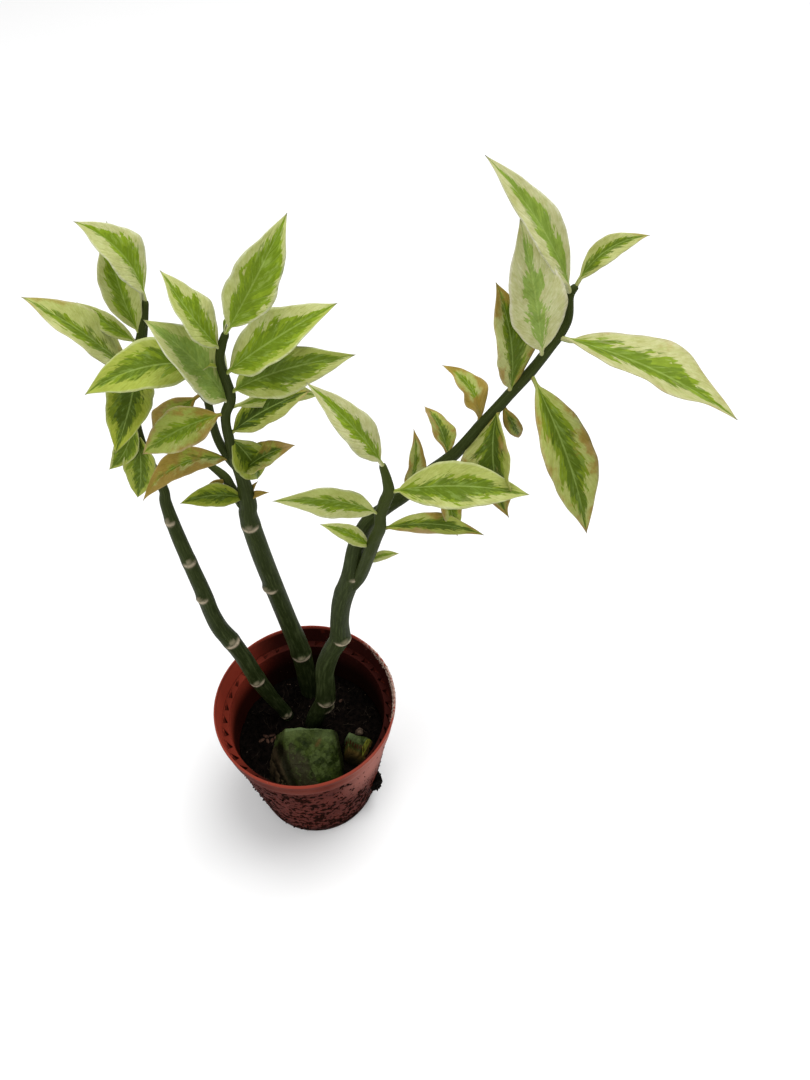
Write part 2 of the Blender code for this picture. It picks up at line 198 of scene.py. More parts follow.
leafPaint = {
    "cream": (0.47, 0.49, 0.20),
    "greyCream": (0.46, 0.46, 0.22),
    "lime": (0.29, 0.36, 0.03),
    "dullMargin": (0.185, 0.195, 0.018),
    "rim": (0.56, 0.57, 0.40),
    "freshGreen": (0.200, 0.295, 0.014),
    "freshCore": (0.115, 0.190, 0.008),
    "freshPatch": (0.28, 0.38, 0.07),
    "washed": (0.245, 0.345, 0.080),
    "washedCore": (0.160, 0.250, 0.055),
    "oliveGreen": (0.125, 0.165, 0.010),
    "oliveCore": (0.030, 0.052, 0.004),
    "olivePatch": (0.10, 0.155, 0.035),
    "tan": (0.31, 0.205, 0.035),
    "pink": (0.41, 0.275, 0.12),
    "rib": (0.36, 0.47, 0.12),
    "underside": (0.26, 0.33, 0.12),
}
veinLean = 0.26  # how far a side vein runs towards the tip on its way to the margin


def makeLeafMaterial(name):
    paint = leafPaint
    made, tree, shader = newMaterial(name, Roughness=0.48, Specular_IOR_Level=0.07)
    along, crossing, seed = splitVector(tree, attribute(tree, "leafPlace").outputs["Vector"])
    yellow, tan, dark = splitVector(tree, attribute(tree, "leafTint").outputs["Vector"])
    green, under, lean = splitVector(tree, attribute(tree, "leafZone").outputs["Vector"])
    across = calc(tree, "ABSOLUTE", crossing)
    side = calc(tree, "SIGN", crossing)
    place = addNode(tree, "TexCoord").outputs["Object"]
    vein = calc(tree, "SUBTRACT", along, calc(tree, "MULTIPLY", across, veinLean))
    reach = calc(tree, "ADD", green, calc(tree, "MULTIPLY", side, lean))
    band = useGroup(tree, veinBand, Along=along, Across=across, Side=side, Seed=seed, Width=reach,
                    Jag=1.55, Teeth=14.0, Edge=0.03)
    heart = useGroup(tree, veinBand, Along=along, Across=across, Side=side, Seed=calc(tree, "ADD", seed, 3.3),
                     Width=calc(tree, "MULTIPLY", reach, 0.72), Jag=1.9, Teeth=18.0, Edge=0.06)
    cloud = noiseAt(tree, place, 75.0, 3.0, 0.6)
    sided = calc(tree, "ADD", cloud, calc(tree, "MULTIPLY", side, calc(tree, "SUBTRACT", seed, 0.5)))
    limeShare = calc(tree, "MULTIPLY", yellow, step(tree, calc(tree, "ADD", sided, calc(
        tree, "MULTIPLY", yellow, 0.4)), 0.35, 0.75))
    pale = mixed(tree, step(tree, yellow, 0.35, 0.0), paint["cream"], paint["greyCream"])
    margin = mixed(tree, limeShare, pale, paint["lime"])
    margin = mixed(tree, calc(tree, "MULTIPLY", dark, 0.62), margin, paint["dullMargin"])
    streak = noiseAt(tree, joinVector(tree, calc(tree, "MULTIPLY", vein, 30.0), calc(
        tree, "MULTIPLY", crossing, 2.2), calc(tree, "MULTIPLY", seed, 17.0)), 1.0, 3.0, 0.65)
    margin = mixed(tree, calc(tree, "MULTIPLY", step(tree, streak, 0.45, 0.75), 0.3), margin, paint["freshPatch"])
    washedOut = calc(tree, "MULTIPLY", dark, -1.0, clamp=True)
    fresh = mixed(tree, dark, paint["freshGreen"], paint["oliveGreen"])
    fresh = mixed(tree, washedOut, fresh, paint["washed"])
    deep = mixed(tree, dark, paint["freshCore"], paint["oliveCore"])
    deep = mixed(tree, washedOut, deep, paint["washedCore"])
    patch = mixed(tree, dark, paint["freshPatch"], paint["olivePatch"])
    blocks = noiseAt(tree, joinVector(tree, calc(tree, "MULTIPLY", vein, 17.0), calc(
        tree, "MULTIPLY", crossing, 3.4), calc(tree, "MULTIPLY", seed, 23.0)), 1.0, 4.0, 0.6)
    tone = mixed(tree, band, margin, fresh)
    tone = mixed(tree, calc(tree, "MULTIPLY", heart, calc(tree, "ADD", 0.62, calc(tree, "MULTIPLY", dark, 0.3))), tone, deep)
    tone = mixed(tree, calc(tree, "MULTIPLY", calc(tree, "MULTIPLY", band, step(tree, blocks, 0.52, 0.66)), 0.6),
                 tone, patch)
    specks = useGroup(tree, flecks, Place=place, Size=900.0, Cover=0.36, Edge=0.05)
    tone = mixed(tree, calc(tree, "MULTIPLY", specks, 0.22), tone, fresh)
    rib = step(tree, across, 0.06, 0.015)
    ribShare = calc(tree, "MULTIPLY", calc(tree, "MULTIPLY", rib, step(tree, along, 1.0, 0.7)), 0.32)
    tone = mixed(tree, ribShare, tone, paint["rib"])
    ripples = calc(tree, "PINGPONG", vein, 0.05)
    veins = calc(tree, "MULTIPLY", step(tree, ripples, 0.007, 0.0), calc(tree, "MULTIPLY", heart, 0.3))
    tone = mixed(tree, veins, tone, patch)
    burn = calc(tree, "ADD", calc(tree, "MULTIPLY", across, 0.38), calc(tree, "SUBTRACT", calc(
        tree, "MULTIPLY", noiseAt(tree, place, 95.0, 5.0, 0.65), 1.9), 0.40))
    burn = calc(tree, "ADD", burn, calc(tree, "MULTIPLY", step(tree, along, 0.7, 1.0), 0.35))
    limit = calc(tree, "SUBTRACT", 1.28, calc(tree, "MULTIPLY", tan, 0.85))
    burnt = calc(tree, "MULTIPLY", step(tree, burn, limit, calc(tree, "ADD", limit, 0.30)), calc(
        tree, "MINIMUM", calc(tree, "MULTIPLY", tan, 1.6), 0.9))
    blush = mixed(tree, step(tree, noiseAt(tree, place, 60.0), 0.52, 0.74), paint["tan"], paint["pink"])
    tone = mixed(tree, burnt, tone, mixed(tree, calc(tree, "MULTIPLY", dark, 0.35), blush, (0.10, 0.055, 0.02)))
    spots = useGroup(tree, flecks, Place=place, Size=620.0, Cover=0.3, Edge=0.02)
    tone = mixed(tree, calc(tree, "MULTIPLY", spots, calc(tree, "MULTIPLY", tan, 0.5)), tone, (0.20, 0.085, 0.03))
    rimShare = calc(tree, "MULTIPLY", step(tree, across, 0.86, 0.98), calc(
        tree, "SUBTRACT", 0.55, calc(tree, "MULTIPLY", dark, 0.4)))
    tone = mixed(tree, rimShare, tone, mixed(tree, tan, paint["rim"], paint["pink"]))
    tipShare = calc(tree, "MULTIPLY", step(tree, along, 0.95, 1.0), 0.6)
    tone = mixed(tree, tipShare, tone, (0.13, 0.12, 0.07))
    tone = mixed(tree, calc(tree, "MULTIPLY", under, 0.22), tone, paint["underside"])
    weave = noiseAt(tree, joinVector(tree, calc(tree, "MULTIPLY", vein, 60.0), calc(
        tree, "MULTIPLY", crossing, 7.0), seed), 1.0, 4.0, 0.7)
    shade = calc(tree, "ADD", 0.30, calc(tree, "MULTIPLY", calc(tree, "ADD", weave, calc(
        tree, "MULTIPLY", noiseAt(tree, place, 210.0, 4.0, 0.6), 0.8)), 0.78))
    tone = mixed(tree, 1.0, tone, joinVector(tree, shade, shade, calc(tree, "MULTIPLY", shade, shade)), "MULTIPLY")
    tree.links.new(tone, shader.inputs["Base Color"])
    fine = calc(tree, "ADD", calc(tree, "MULTIPLY", noiseAt(tree, place, 900.0, 2.0), 0.3),
                calc(tree, "SUBTRACT", calc(tree, "MULTIPLY", step(tree, ripples, 0.0, 0.022), 0.6),
                     calc(tree, "MULTIPLY", rib, 0.8)))
    bumped(tree, shader, fine, 0.3, 0.0005)
    gloss = addNode(tree, "MapRange", Value=cloud, From_Min=0.3, From_Max=0.7, To_Min=0.40, To_Max=0.55)
    tree.links.new(gloss.outputs[0], shader.inputs["Roughness"])
    return made


stemPaint = {
    "old": (0.006, 0.011, 0.003),
    "streak": (0.038, 0.050, 0.019),
    "young": (0.050, 0.066, 0.010),
    "scar": (0.46, 0.38, 0.27),
    "bud": (0.20, 0.175, 0.11),
}


def makeStemMaterial(name):
    paint = stemPaint
    made, tree, shader = newMaterial(name, Roughness=0.52, Specular_IOR_Level=0.06)
    turned = attribute(tree, "stemPlace").outputs["Vector"]
    youth, scar, bud = splitVector(tree, attribute(tree, "stemMarks").outputs["Vector"])
    place = addNode(tree, "TexCoord").outputs["Object"]
    lines = noiseAt(tree, scaled(tree, turned, (5.5, 5.5, 0.11)), 1.0, 4.0, 0.65)
    blotch = noiseAt(tree, place, 210.0, 4.0, 0.6)
    tone = mixed(tree, step(tree, lines, 0.46, 0.68), paint["old"], paint["streak"])
    tone = mixed(tree, calc(tree, "MULTIPLY", step(tree, blotch, 0.5, 0.75), 0.35), tone, paint["streak"])
    tone = mixed(tree, calc(tree, "MULTIPLY", youth, 0.75), tone, paint["young"])
    dots = useGroup(tree, flecks, Place=place, Size=1300.0, Cover=0.31, Edge=0.02)
    tone = mixed(tree, calc(tree, "MULTIPLY", dots, 0.4), tone, (0.14, 0.15, 0.10))
    edge = useGroup(tree, flecks, Place=place, Size=800.0, Cover=0.62, Edge=0.12)
    tone = mixed(tree, calc(tree, "MULTIPLY", scar, calc(tree, "ADD", 0.35, calc(tree, "MULTIPLY", edge, 0.65))),
                 tone, paint["scar"])
    tone = mixed(tree, bud, tone, paint["bud"])
    tree.links.new(tone, shader.inputs["Base Color"])
    bumped(tree, shader, calc(tree, "ADD", lines, calc(tree, "MULTIPLY", noiseAt(tree, place, 1100.0), 0.3)), 0.5, 0.0006)
    rough = addNode(tree, "MapRange", Value=lines, From_Min=0.3, From_Max=0.7, To_Min=0.42, To_Max=0.62)
    tree.links.new(rough.outputs[0], shader.inputs["Roughness"])
    return made


potPaint = {
    "plastic": (0.100, 0.016, 0.009),
    "worn": (0.135, 0.030, 0.020),
    # bright red of the inner left wall: painted glow standing in for light through the thin plastic
    "paintedGlow": (0.45, 0.064, 0.036),
    # paler red of the rim top: painted highlight, also a scuffed edge
    "rim": (0.25, 0.044, 0.027),
    "low": (0.058, 0.009, 0.006),
    "dirt": (0.006, 0.002, 0.001),
    # dusty pink, used for dust flecks and for the painted sheen on the right of the outer wall
    "dustSheen": (0.40, 0.15, 0.118),
    "crust": (0.48, 0.32, 0.26),
}


def makePotMaterial():
    paint = potPaint
    made, tree, shader = newMaterial("mouldedPlastic", Roughness=0.42, Specular_IOR_Level=0.006)
    place = addNode(tree, "TexCoord").outputs["Object"]
    x, y, z = splitVector(tree, place)
    radius = calc(tree, "SQRT", calc(tree, "ADD", calc(tree, "MULTIPLY", x, x), calc(tree, "MULTIPLY", y, y)))
    outside, notch, _ = splitVector(tree, attribute(tree, "potMarks").outputs["Vector"])
    cloud = noiseAt(tree, place, 55.0, 4.0, 0.6)
    tone = mixed(tree, step(tree, cloud, 0.42, 0.7), paint["plastic"], paint["worn"])
    scuffs = noiseAt(tree, scaled(tree, place, (1.0, 1.0, 0.16)), 900.0, 3.0, 0.7)
    tone = mixed(tree, calc(tree, "MULTIPLY", step(tree, scuffs, 0.58, 0.75), 0.25), tone, paint["worn"])
    bearing = calc(tree, "ARCTAN2", y, x)
    low = step(tree, z, 0.0765, 0.0740)  # soil sticks to the wall under the band
    splash = noiseAt(tree, place, 60.0, 4.0, 0.65)
    # painted sheen: a paler dusty pink on the right front of the outer wall, standing in for a reflection
    sheenSide = calc(tree, "MULTIPLY", step(tree, bearing, -1.25, -0.65), step(tree, bearing, 0.3, -0.4))
    sheenSide = calc(tree, "MULTIPLY", sheenSide, step(tree, z, 0.035, 0.066))
    shaded = calc(tree, "MAXIMUM", step(tree, bearing, -1.45, -2.1), step(tree, bearing, 2.2, 2.9))  # the left side
    tone = mixed(tree, calc(tree, "MULTIPLY", calc(tree, "MULTIPLY", shaded, outside), 0.6), tone, paint["low"])
    cover = calc(tree, "ADD", calc(tree, "SUBTRACT", 0.31, calc(tree, "MULTIPLY", sheenSide, 0.14)), calc(
        tree, "ADD", calc(tree, "MULTIPLY", splash, 0.28), calc(tree, "MULTIPLY", step(tree, z, 0.07, 0.01), 0.05)))
    grit = useGroup(tree, flecks, Place=scaled(tree, place, (1.0, 1.0, 0.72)), Size=380.0, Cover=cover, Edge=0.015)
    muddy = calc(tree, "MULTIPLY", calc(tree, "MULTIPLY", grit, low), outside)
    grimy = calc(tree, "MULTIPLY", calc(tree, "MULTIPLY", low, outside), calc(
        tree, "ADD", 0.45, calc(tree, "MULTIPLY", step(tree, splash, 0.36, 0.62), 0.5)))
    tone = mixed(tree, grimy, tone, paint["low"])
    # real dust flecks, with the painted sheen on the right front laid over them
    dustAndSheen = useGroup(tree, flecks, Place=place, Size=900.0, Cover=0.40, Edge=0.06)
    dustAndSheen = calc(tree, "MULTIPLY", outside, calc(tree, "MAXIMUM", calc(tree, "MULTIPLY", sheenSide, 0.72), calc(
        tree, "MULTIPLY", dustAndSheen, calc(tree, "ADD", 0.03, calc(tree, "MULTIPLY", low, 0.09)))))
    tone = mixed(tree, dustAndSheen, tone, paint["dustSheen"])
    tone = mixed(tree, calc(tree, "MULTIPLY", muddy, 0.92), tone, paint["dirt"])
    foot = calc(tree, "MULTIPLY", outside, step(tree, z, 0.012, 0.001))
    tone = mixed(tree, calc(tree, "MULTIPLY", foot, 0.8), tone, paint["dirt"])
    inside = calc(tree, "SUBTRACT", 1.0, outside)
    glowSide = step(tree, calc(tree, "ABSOLUTE", bearing), 1.9, 2.6)  # painted glow on the inner left side, standing in for light through the thin plastic; elsewhere the dark film
    tone = mixed(tree, calc(tree, "MULTIPLY", inside, glowSide), tone, paint["paintedGlow"])
    ledge = step(tree, calc(tree, "ABSOLUTE", calc(tree, "SUBTRACT", z, 0.0760)), 0.0006, 0.0003)
    tone = mixed(tree, calc(tree, "MULTIPLY", calc(tree, "MULTIPLY", inside, ledge), 0.72), tone, paint["plastic"])
    # dark film on the inner wall away from the glowing left side, thicker deeper down: part soil stain, part painted
    # shade
    stainAndShade = calc(tree, "SUBTRACT", 1.0, calc(tree, "MULTIPLY", glowSide, 0.85))
    deepness = step(tree, z, 0.0875, 0.070)
    filmAndShade = useGroup(tree, flecks, Place=place, Size=150.0, Cover=calc(
        tree, "ADD", 0.57, calc(tree, "MULTIPLY", deepness, 0.4)), Edge=0.12)
    filmAndShade = calc(tree, "MULTIPLY", calc(tree, "MULTIPLY", inside, filmAndShade), stainAndShade)
    tone = mixed(tree, calc(tree, "MULTIPLY", filmAndShade, 0.9), tone, (0.022, 0.005, 0.004))
    # inner wall below the shelf, darker towards the soil: part soil stain, part painted shade
    soilAndShade = calc(tree, "MULTIPLY", inside, step(tree, z, 0.0755, 0.060))
    tone = mixed(tree, calc(tree, "MULTIPLY", soilAndShade, 0.92), tone, (0.008, 0.003, 0.002))
    # near black in the notch hollows: painted shade, with dirt
    tone = mixed(tree, calc(tree, "MULTIPLY", step(tree, notch, 0.05, 0.60), 0.92), tone, (0.012, 0.003, 0.002))
    # paler red along the top of the rim: a painted highlight, also a scuffed edge
    tone = mixed(tree, calc(tree, "MULTIPLY", step(tree, z, 0.0858, 0.0868), 0.85), tone, paint["rim"])
    sector = calc(tree, "MULTIPLY", step(tree, bearing, -0.30, 0.05), step(tree, bearing, 1.05, 0.65))
    nearRim = calc(tree, "MAXIMUM", step(tree, z, 0.0868, 0.0876), calc(tree, "MULTIPLY", inside, step(tree, z, 0.0853, 0.0874)))
    salt = useGroup(tree, flecks, Place=place, Size=620.0, Cover=0.50, Edge=0.02)
    limed = calc(tree, "MULTIPLY", calc(tree, "MULTIPLY", sector, nearRim), salt)
    stray = useGroup(tree, flecks, Place=scaled(tree, place, (1.3, 1.3, 1.3)), Size=600.0, Cover=0.27, Edge=0.02)
    limed = calc(tree, "MAXIMUM", limed, calc(tree, "MULTIPLY", stray, 0.5))
    tone = mixed(tree, limed, tone, paint["crust"])
    tree.links.new(tone, shader.inputs["Base Color"])
    rough = calc(tree, "ADD", 0.40, calc(tree, "MULTIPLY", calc(tree, "MAXIMUM", muddy, limed), 0.5))
    tree.links.new(calc(tree, "ADD", rough, calc(tree, "MULTIPLY", cloud, 0.12)), shader.inputs["Roughness"])
    height = calc(tree, "ADD", calc(tree, "MAXIMUM", muddy, limed), calc(tree, "MULTIPLY", scuffs, 0.15))
    bumped(tree, shader, height, 0.55, 0.0006)
    return made


def makeSoilMaterial():
    made, tree, shader = newMaterial("pottingMix", Roughness=0.9, Specular_IOR_Level=0.03)
    place = addNode(tree, "TexCoord").outputs["Object"]
    lumps = noiseAt(tree, place, 420.0, 5.0, 0.65)
    fine = noiseAt(tree, place, 1500.0, 3.0, 0.6)
    tone = mixed(tree, step(tree, lumps, 0.35, 0.7), (0.0012, 0.0008, 0.0006), (0.0065, 0.0042, 0.003))
    crumbs = useGroup(tree, flecks, Place=place, Size=1200.0, Cover=0.32, Edge=0.03)
    tone = mixed(tree, calc(tree, "MULTIPLY", crumbs, 0.5), tone, (0.022, 0.014, 0.009))
    tree.links.new(tone, shader.inputs["Base Color"])
    bumped(tree, shader, calc(tree, "ADD", lumps, calc(tree, "MULTIPLY", fine, 0.4)), 0.8, 0.0012)
    damp = addNode(tree, "MapRange", Value=fine, From_Min=0.3, From_Max=0.7, To_Min=0.78, To_Max=0.98)
    tree.links.new(damp.outputs[0], shader.inputs["Roughness"])
    return made


def makeBitsMaterial(name, dull, light, size):  # chips, fibres, pebbles
    made, tree, shader = newMaterial(name, Roughness=0.85, Specular_IOR_Level=0.1)
    place = addNode(tree, "TexCoord").outputs["Object"]
    grain = noiseAt(tree, place, size, 4.0, 0.65)
    tree.links.new(mixed(tree, step(tree, grain, 0.35, 0.68), dull, light), shader.inputs["Base Color"])
    bumped(tree, shader, grain, 0.6, 0.0004)
    return made


skinPaint = {
    "deep": (0.008, 0.014, 0.002),
    "green": (0.036, 0.053, 0.009),
    "speck": (0.060, 0.078, 0.024),
    "huskDark": (0.008, 0.005, 0.003),
    "huskPale": (0.052, 0.036, 0.019),
    "dry": (0.030, 0.026, 0.013),
    "pale": (0.100, 0.135, 0.043),
    "scar": (0.15, 0.060, 0.022),
    "tick": (0.036, 0.008, 0.003),
    "freshCut": (0.27, 0.28, 0.035),
    "topEdge": (0.14, 0.19, 0.08),
    "aged": (0.085, 0.050, 0.012),
    "shadow": (0.008, 0.007, 0.003),
}


def makeSkinMaterial(name, large):  # skin of the cut pieces: green, with papery husk and scars
    paint = skinPaint
    made, tree, shader = newMaterial(name, Roughness=0.5, Specular_IOR_Level=0.04)
    place = addNode(tree, "TexCoord").outputs["Object"]
    paper, fresh, scar = splitVector(tree, attribute(tree, "skinMarks").outputs["Vector"])
    dark, dry, pale = splitVector(tree, attribute(tree, "skinShades").outputs["Vector"])
    layer = attribute(tree, "skinLayer").outputs["Fac"]
    cloud = noiseAt(tree, place, 110.0, 5.0, 0.6)
    tone = mixed(tree, step(tree, cloud, 0.42, 0.60), paint["deep"], paint["green"])
    patches = splitVector(tree, addNode(tree, "TexVoronoi", Vector=place, Scale=420.0).outputs["Color"])[0]
    tone = mixed(tree, calc(tree, "MULTIPLY", patches, 0.45), tone, paint["green"])
    tone = mixed(tree, calc(tree, "MULTIPLY", step(tree, patches, 0.66, 0.74), 0.28), tone, paint["pale"])
    tone = mixed(tree, calc(tree, "MULTIPLY", step(tree, patches, 0.30, 0.22), 0.45), tone, paint["deep"])
    cells = addNode(tree, "TexVoronoi", {"feature": "DISTANCE_TO_EDGE"}, Vector=place, Scale=260.0).outputs[0]
    tone = mixed(tree, calc(tree, "MULTIPLY", step(tree, cells, 0.05, 0.0), 0.35), tone, paint["deep"])
    speck = useGroup(tree, flecks, Place=place, Size=480.0, Cover=0.42, Edge=0.05)
    tone = mixed(tree, calc(tree, "MULTIPLY", speck, 0.35), tone, paint["speck"])
    blots = useGroup(tree, flecks, Place=place, Size=360.0, Cover=0.40, Edge=0.03)
    tone = mixed(tree, calc(tree, "MULTIPLY", blots, 0.55), tone, paint["deep"])
    tone = mixed(tree, calc(tree, "MULTIPLY", pale, 0.7), tone, paint["pale"])
    husk = mixed(tree, step(tree, calc(tree, "ADD", layer, calc(tree, "MULTIPLY", cloud, 0.5)), 0.35, 1.0),
                 paint["huskDark"], paint["huskPale"])
    if large:
        dried = mixed(tree, calc(tree, "MULTIPLY", speck, 0.6), paint["dry"], paint["speck"])
        tone = mixed(tree, calc(tree, "MULTIPLY", dry, 0.8), tone, dried)
        tone = mixed(tree, calc(tree, "MULTIPLY", paper, 0.92), tone, husk)
        tone = mixed(tree, calc(tree, "MULTIPLY", fresh, 1.6, True), tone, paint["topEdge"])
        tone = mixed(tree, scar, tone, paint["scar"])
    else:
        tone = mixed(tree, calc(tree, "MULTIPLY", pale, 0.8), tone, paint["topEdge"])
        tone = mixed(tree, calc(tree, "MULTIPLY", paper, 0.9), tone, paint["aged"])
        tone = mixed(tree, fresh, tone, mixed(tree, step(tree, cloud, 0.40, 0.70), paint["freshCut"], paint["green"]))
        tone = mixed(tree, scar, tone, paint["tick"])
    tone = mixed(tree, dark, tone, paint["shadow"])
    tree.links.new(tone, shader.inputs["Base Color"])
    height = calc(tree, "ADD", cloud, calc(tree, "ADD", calc(tree, "MULTIPLY", speck, 0.25), calc(
        tree, "MULTIPLY", step(tree, cells, 0.0, 0.08), 0.3)))
    bumped(tree, shader, height, 0.7, 0.0008)
    rough = calc(tree, "ADD", 0.45, calc(tree, "MULTIPLY", paper, 0.3))
    tree.links.new(rough, shader.inputs["Roughness"])
    return made


# Mesh helpers. Shapes are worked out in millimetres and stored in metres.

def newPiece(name, verts, faces, material, replaced=(), slot=None, values=None, smooth=True):
    mesh = bpy.data.meshes.new(name)
    mesh.from_pydata((np.asarray(verts) * mm).tolist(), [], faces)
    mesh.update()
    if smooth:
        mesh.shade_smooth()
    for label, numbers in (values or {}).items():
        numbers = np.asarray(numbers, dtype=np.float32)
        kind = "FLOAT_VECTOR" if numbers.ndim == 2 else "FLOAT"
        layer = mesh.attributes.new(label, kind, "POINT")
        layer.data.foreach_set("vector" if numbers.ndim == 2 else "value", numbers.ravel())
    mesh.materials.append(material)
    piece = bpy.data.objects.new(name, mesh)
    bpy.context.scene.collection.objects.link(piece)
    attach(piece, "root")
    if replaced:
        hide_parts(*replaced)
    return piece


def gridFaces(rows, columns, start=0, closed=True):  # quads between rings of vertices
    faces = []
    width = columns if closed else columns - 1
    for row in range(rows - 1):
        for column in range(width):
            a = start + row * columns + column
            b = start + row * columns + (column + 1) % columns
            faces.append((a, b, b + columns, a + columns))
    return faces


def gather(parts):  # several (verts, faces, values) become one set
    verts, faces, values, offset = [], [], {}, 0
    for partVerts, partFaces, partValues in parts:
        verts.append(partVerts)
        faces += [tuple(index + offset for index in face) for face in partFaces]
        for label, numbers in partValues.items():
            values.setdefault(label, []).append(numbers)
        offset += len(partVerts)
    return np.concatenate(verts), faces, {label: np.concatenate(stack) for label, stack in values.items()}


def smoothRoute(points, steps=12):  # Catmull-Rom curve through (x, y, z, radius)
    knots = np.array([np.subtract(np.multiply(2, points[0]), points[1])] + list(points)
                     + [np.subtract(np.multiply(2, points[-1]), points[-2])], dtype=float)
    route = []
    for p0, p1, p2, p3 in zip(knots, knots[1:], knots[2:], knots[3:]):
        for t in np.arange(steps) / steps:
            route.append(0.5 * (2 * p1 + (p2 - p0) * t + (2 * p0 - 5 * p1 + 4 * p2 - p3) * t * t
                                + (3 * p1 - 3 * p2 + p3 - p0) * t ** 3))
    return np.array(route + [knots[-2]])


def alongRoute(points, spacing):  # the curve again at even spacing, with its length so far
    route = smoothRoute(points)
    lengths = np.concatenate([[0], np.cumsum(np.linalg.norm(np.diff(route[:, :3], axis=0), axis=1))])
    marks = np.linspace(0, lengths[-1], max(4, int(lengths[-1] / spacing)))
    return np.stack([np.interp(marks, lengths, route[:, k]) for k in range(4)], axis=1), marks


def pointAlong(points, distance):
    route, marks = alongRoute(points, 0.4)
    return np.array([np.interp(distance, marks, route[:, k]) for k in range(3)])


def ringFrames(centres):  # two directions across the route at each point, without twist
    tangents = np.gradient(centres, axis=0)
    tangents /= np.linalg.norm(tangents, axis=1)[:, None]
    first = np.cross(tangents[0], (0.0, 1.0, 0.0))
    firsts = []
    for tangent in tangents:
        first = first - tangent * np.dot(first, tangent)
        first = first / np.linalg.norm(first)
        firsts.append(first)
    firsts = np.array(firsts)
    return tangents, firsts, np.cross(tangents, firsts)


def ballEnd(count, cap=3):
    return np.sqrt(np.clip(1 - (1 - np.arange(cap) / cap) ** 2, 0.02, 1))


# Stems

stems = {
    "left": {
        "main": [
            (-12.5, 12.5, 24, 3.3), (-14, 12, 50, 3.3), (-19.5, 11, 71, 3.6), (-24, 10, 91, 4.1),
            (-28, 10, 112, 4.0), (-31.5, 10, 126, 4.1), (-35.5, 11, 136, 3.9), (-37.5, 12, 147, 3.6),
            (-38.5, 13, 158, 3.5), (-41.5, 16, 176, 3.2), (-44.5, 19.5, 193, 2.9), (-46, 22, 208, 2.4),
            (-45.5, 23, 214, 2.0), (-47, 24.5, 220, 2.0), (-50.5, 28, 234, 2.0), (-51, 31.5, 248, 2.0),
            (-49, 34, 258, 1.9), (-45, 36.5, 269, 1.9), (-41.5, 38, 278, 1.8), (-38, 40, 290, 1.3),
        ],
        "scars": [(30, -60, 1.2), (70, -75, 1.0), (105, -50, 1.0), (137, -110, 0.9), (158, -70, 0.8), (180, -100, 0.8),
                  (199, -60, 0.7)],
    },
    "middle": {
        "main": [
            (-2, 27, 24, 5.0), (-3, 27, 51, 5.0), (-4, 27, 90, 5.1), (-7.5, 27, 118, 4.6),
            (-11.5, 27, 151, 4.4), (-14, 27, 174, 4.3), (-15.5, 27, 195, 3.9), (-14.5, 27, 203, 3.6),
            (-14.5, 27, 215, 2.8), (-16, 27, 230, 2.1), (-16.5, 27, 243, 1.8), (-15.5, 27, 251, 1.8),
            (-12.5, 27, 259, 1.9), (-13, 25, 275, 1.6), (-11, 24, 283, 1.5), (-8.5, 23, 289, 1.3),
        ],
        "low": [(-17, 27, 202, 2.2), (-20.5, 29, 210, 2.0), (-23, 31, 214.5, 1.9), (-30.5, 37, 216, 1.2)],
        "fork": [(-15.5, 27, 223, 2.0), (-18.5, 28, 228, 1.9), (-21.5, 29, 238, 1.7), (-22, 30, 256, 1.4)],
        "forkLeft": [(-21.5, 30, 253, 1.3), (-23, 29, 258, 1.2), (-23, 28, 263, 1.1), (-22, 27, 269, 0.9)],
        "forkRight": [(-21.5, 30, 253, 1.3), (-20, 31, 258, 1.2), (-19.5, 32, 262, 0.9)],
        "scars": [(66, -80, 1.1), (124, -120, 1.2), (167, -85, 1.0)],
    },
    "right": {
        "main": [
            (-2, 9, 24, 4.6), (0.5, 8, 50, 4.6), (9.5, 4, 84, 4.7), (11.5, 3, 112, 4.5),
            (15.5, 2, 129, 4.4), (20.5, 1, 143, 4.4), (21.5, 0, 158, 4.1), (23.5, 0, 173, 4.1),
            (28, 0, 190, 4.0), (31, 1, 207, 3.4), (35.5, 2, 219, 3.0), (42, 3, 226, 2.7),
            (50, 4, 233, 2.5), (58.5, 5, 243, 2.3), (67, 6, 251, 2.1), (75, 8, 262, 1.9),
            (84, 10, 274, 1.8), (90, 12, 281.5, 1.8), (95, 14, 288.5, 1.7), (100, 17, 297, 1.6),
            (100, 19, 305, 1.4), (102, 20, 308.5, 1.1),
        ],
        "front": [
            (27, -0.5, 181, 2.4), (32, -2.5, 193, 2.6), (36, -5, 209, 2.5), (38.5, -6, 219, 2.4),
            (40.5, -7, 227, 2.3), (41, -7, 233.5, 2.1), (42.5, -7, 240, 2.2), (44, -7, 245.5, 2.0),
            (43.5, -6.5, 251, 1.7), (42, -6, 258, 1.2),
        ],
        "scars": [(52, -15, 1.1), (62, -75, 1.2), (124, -60, 1.2), (158, 180, -0.9), (171, -40, 0.9)],
    },
}

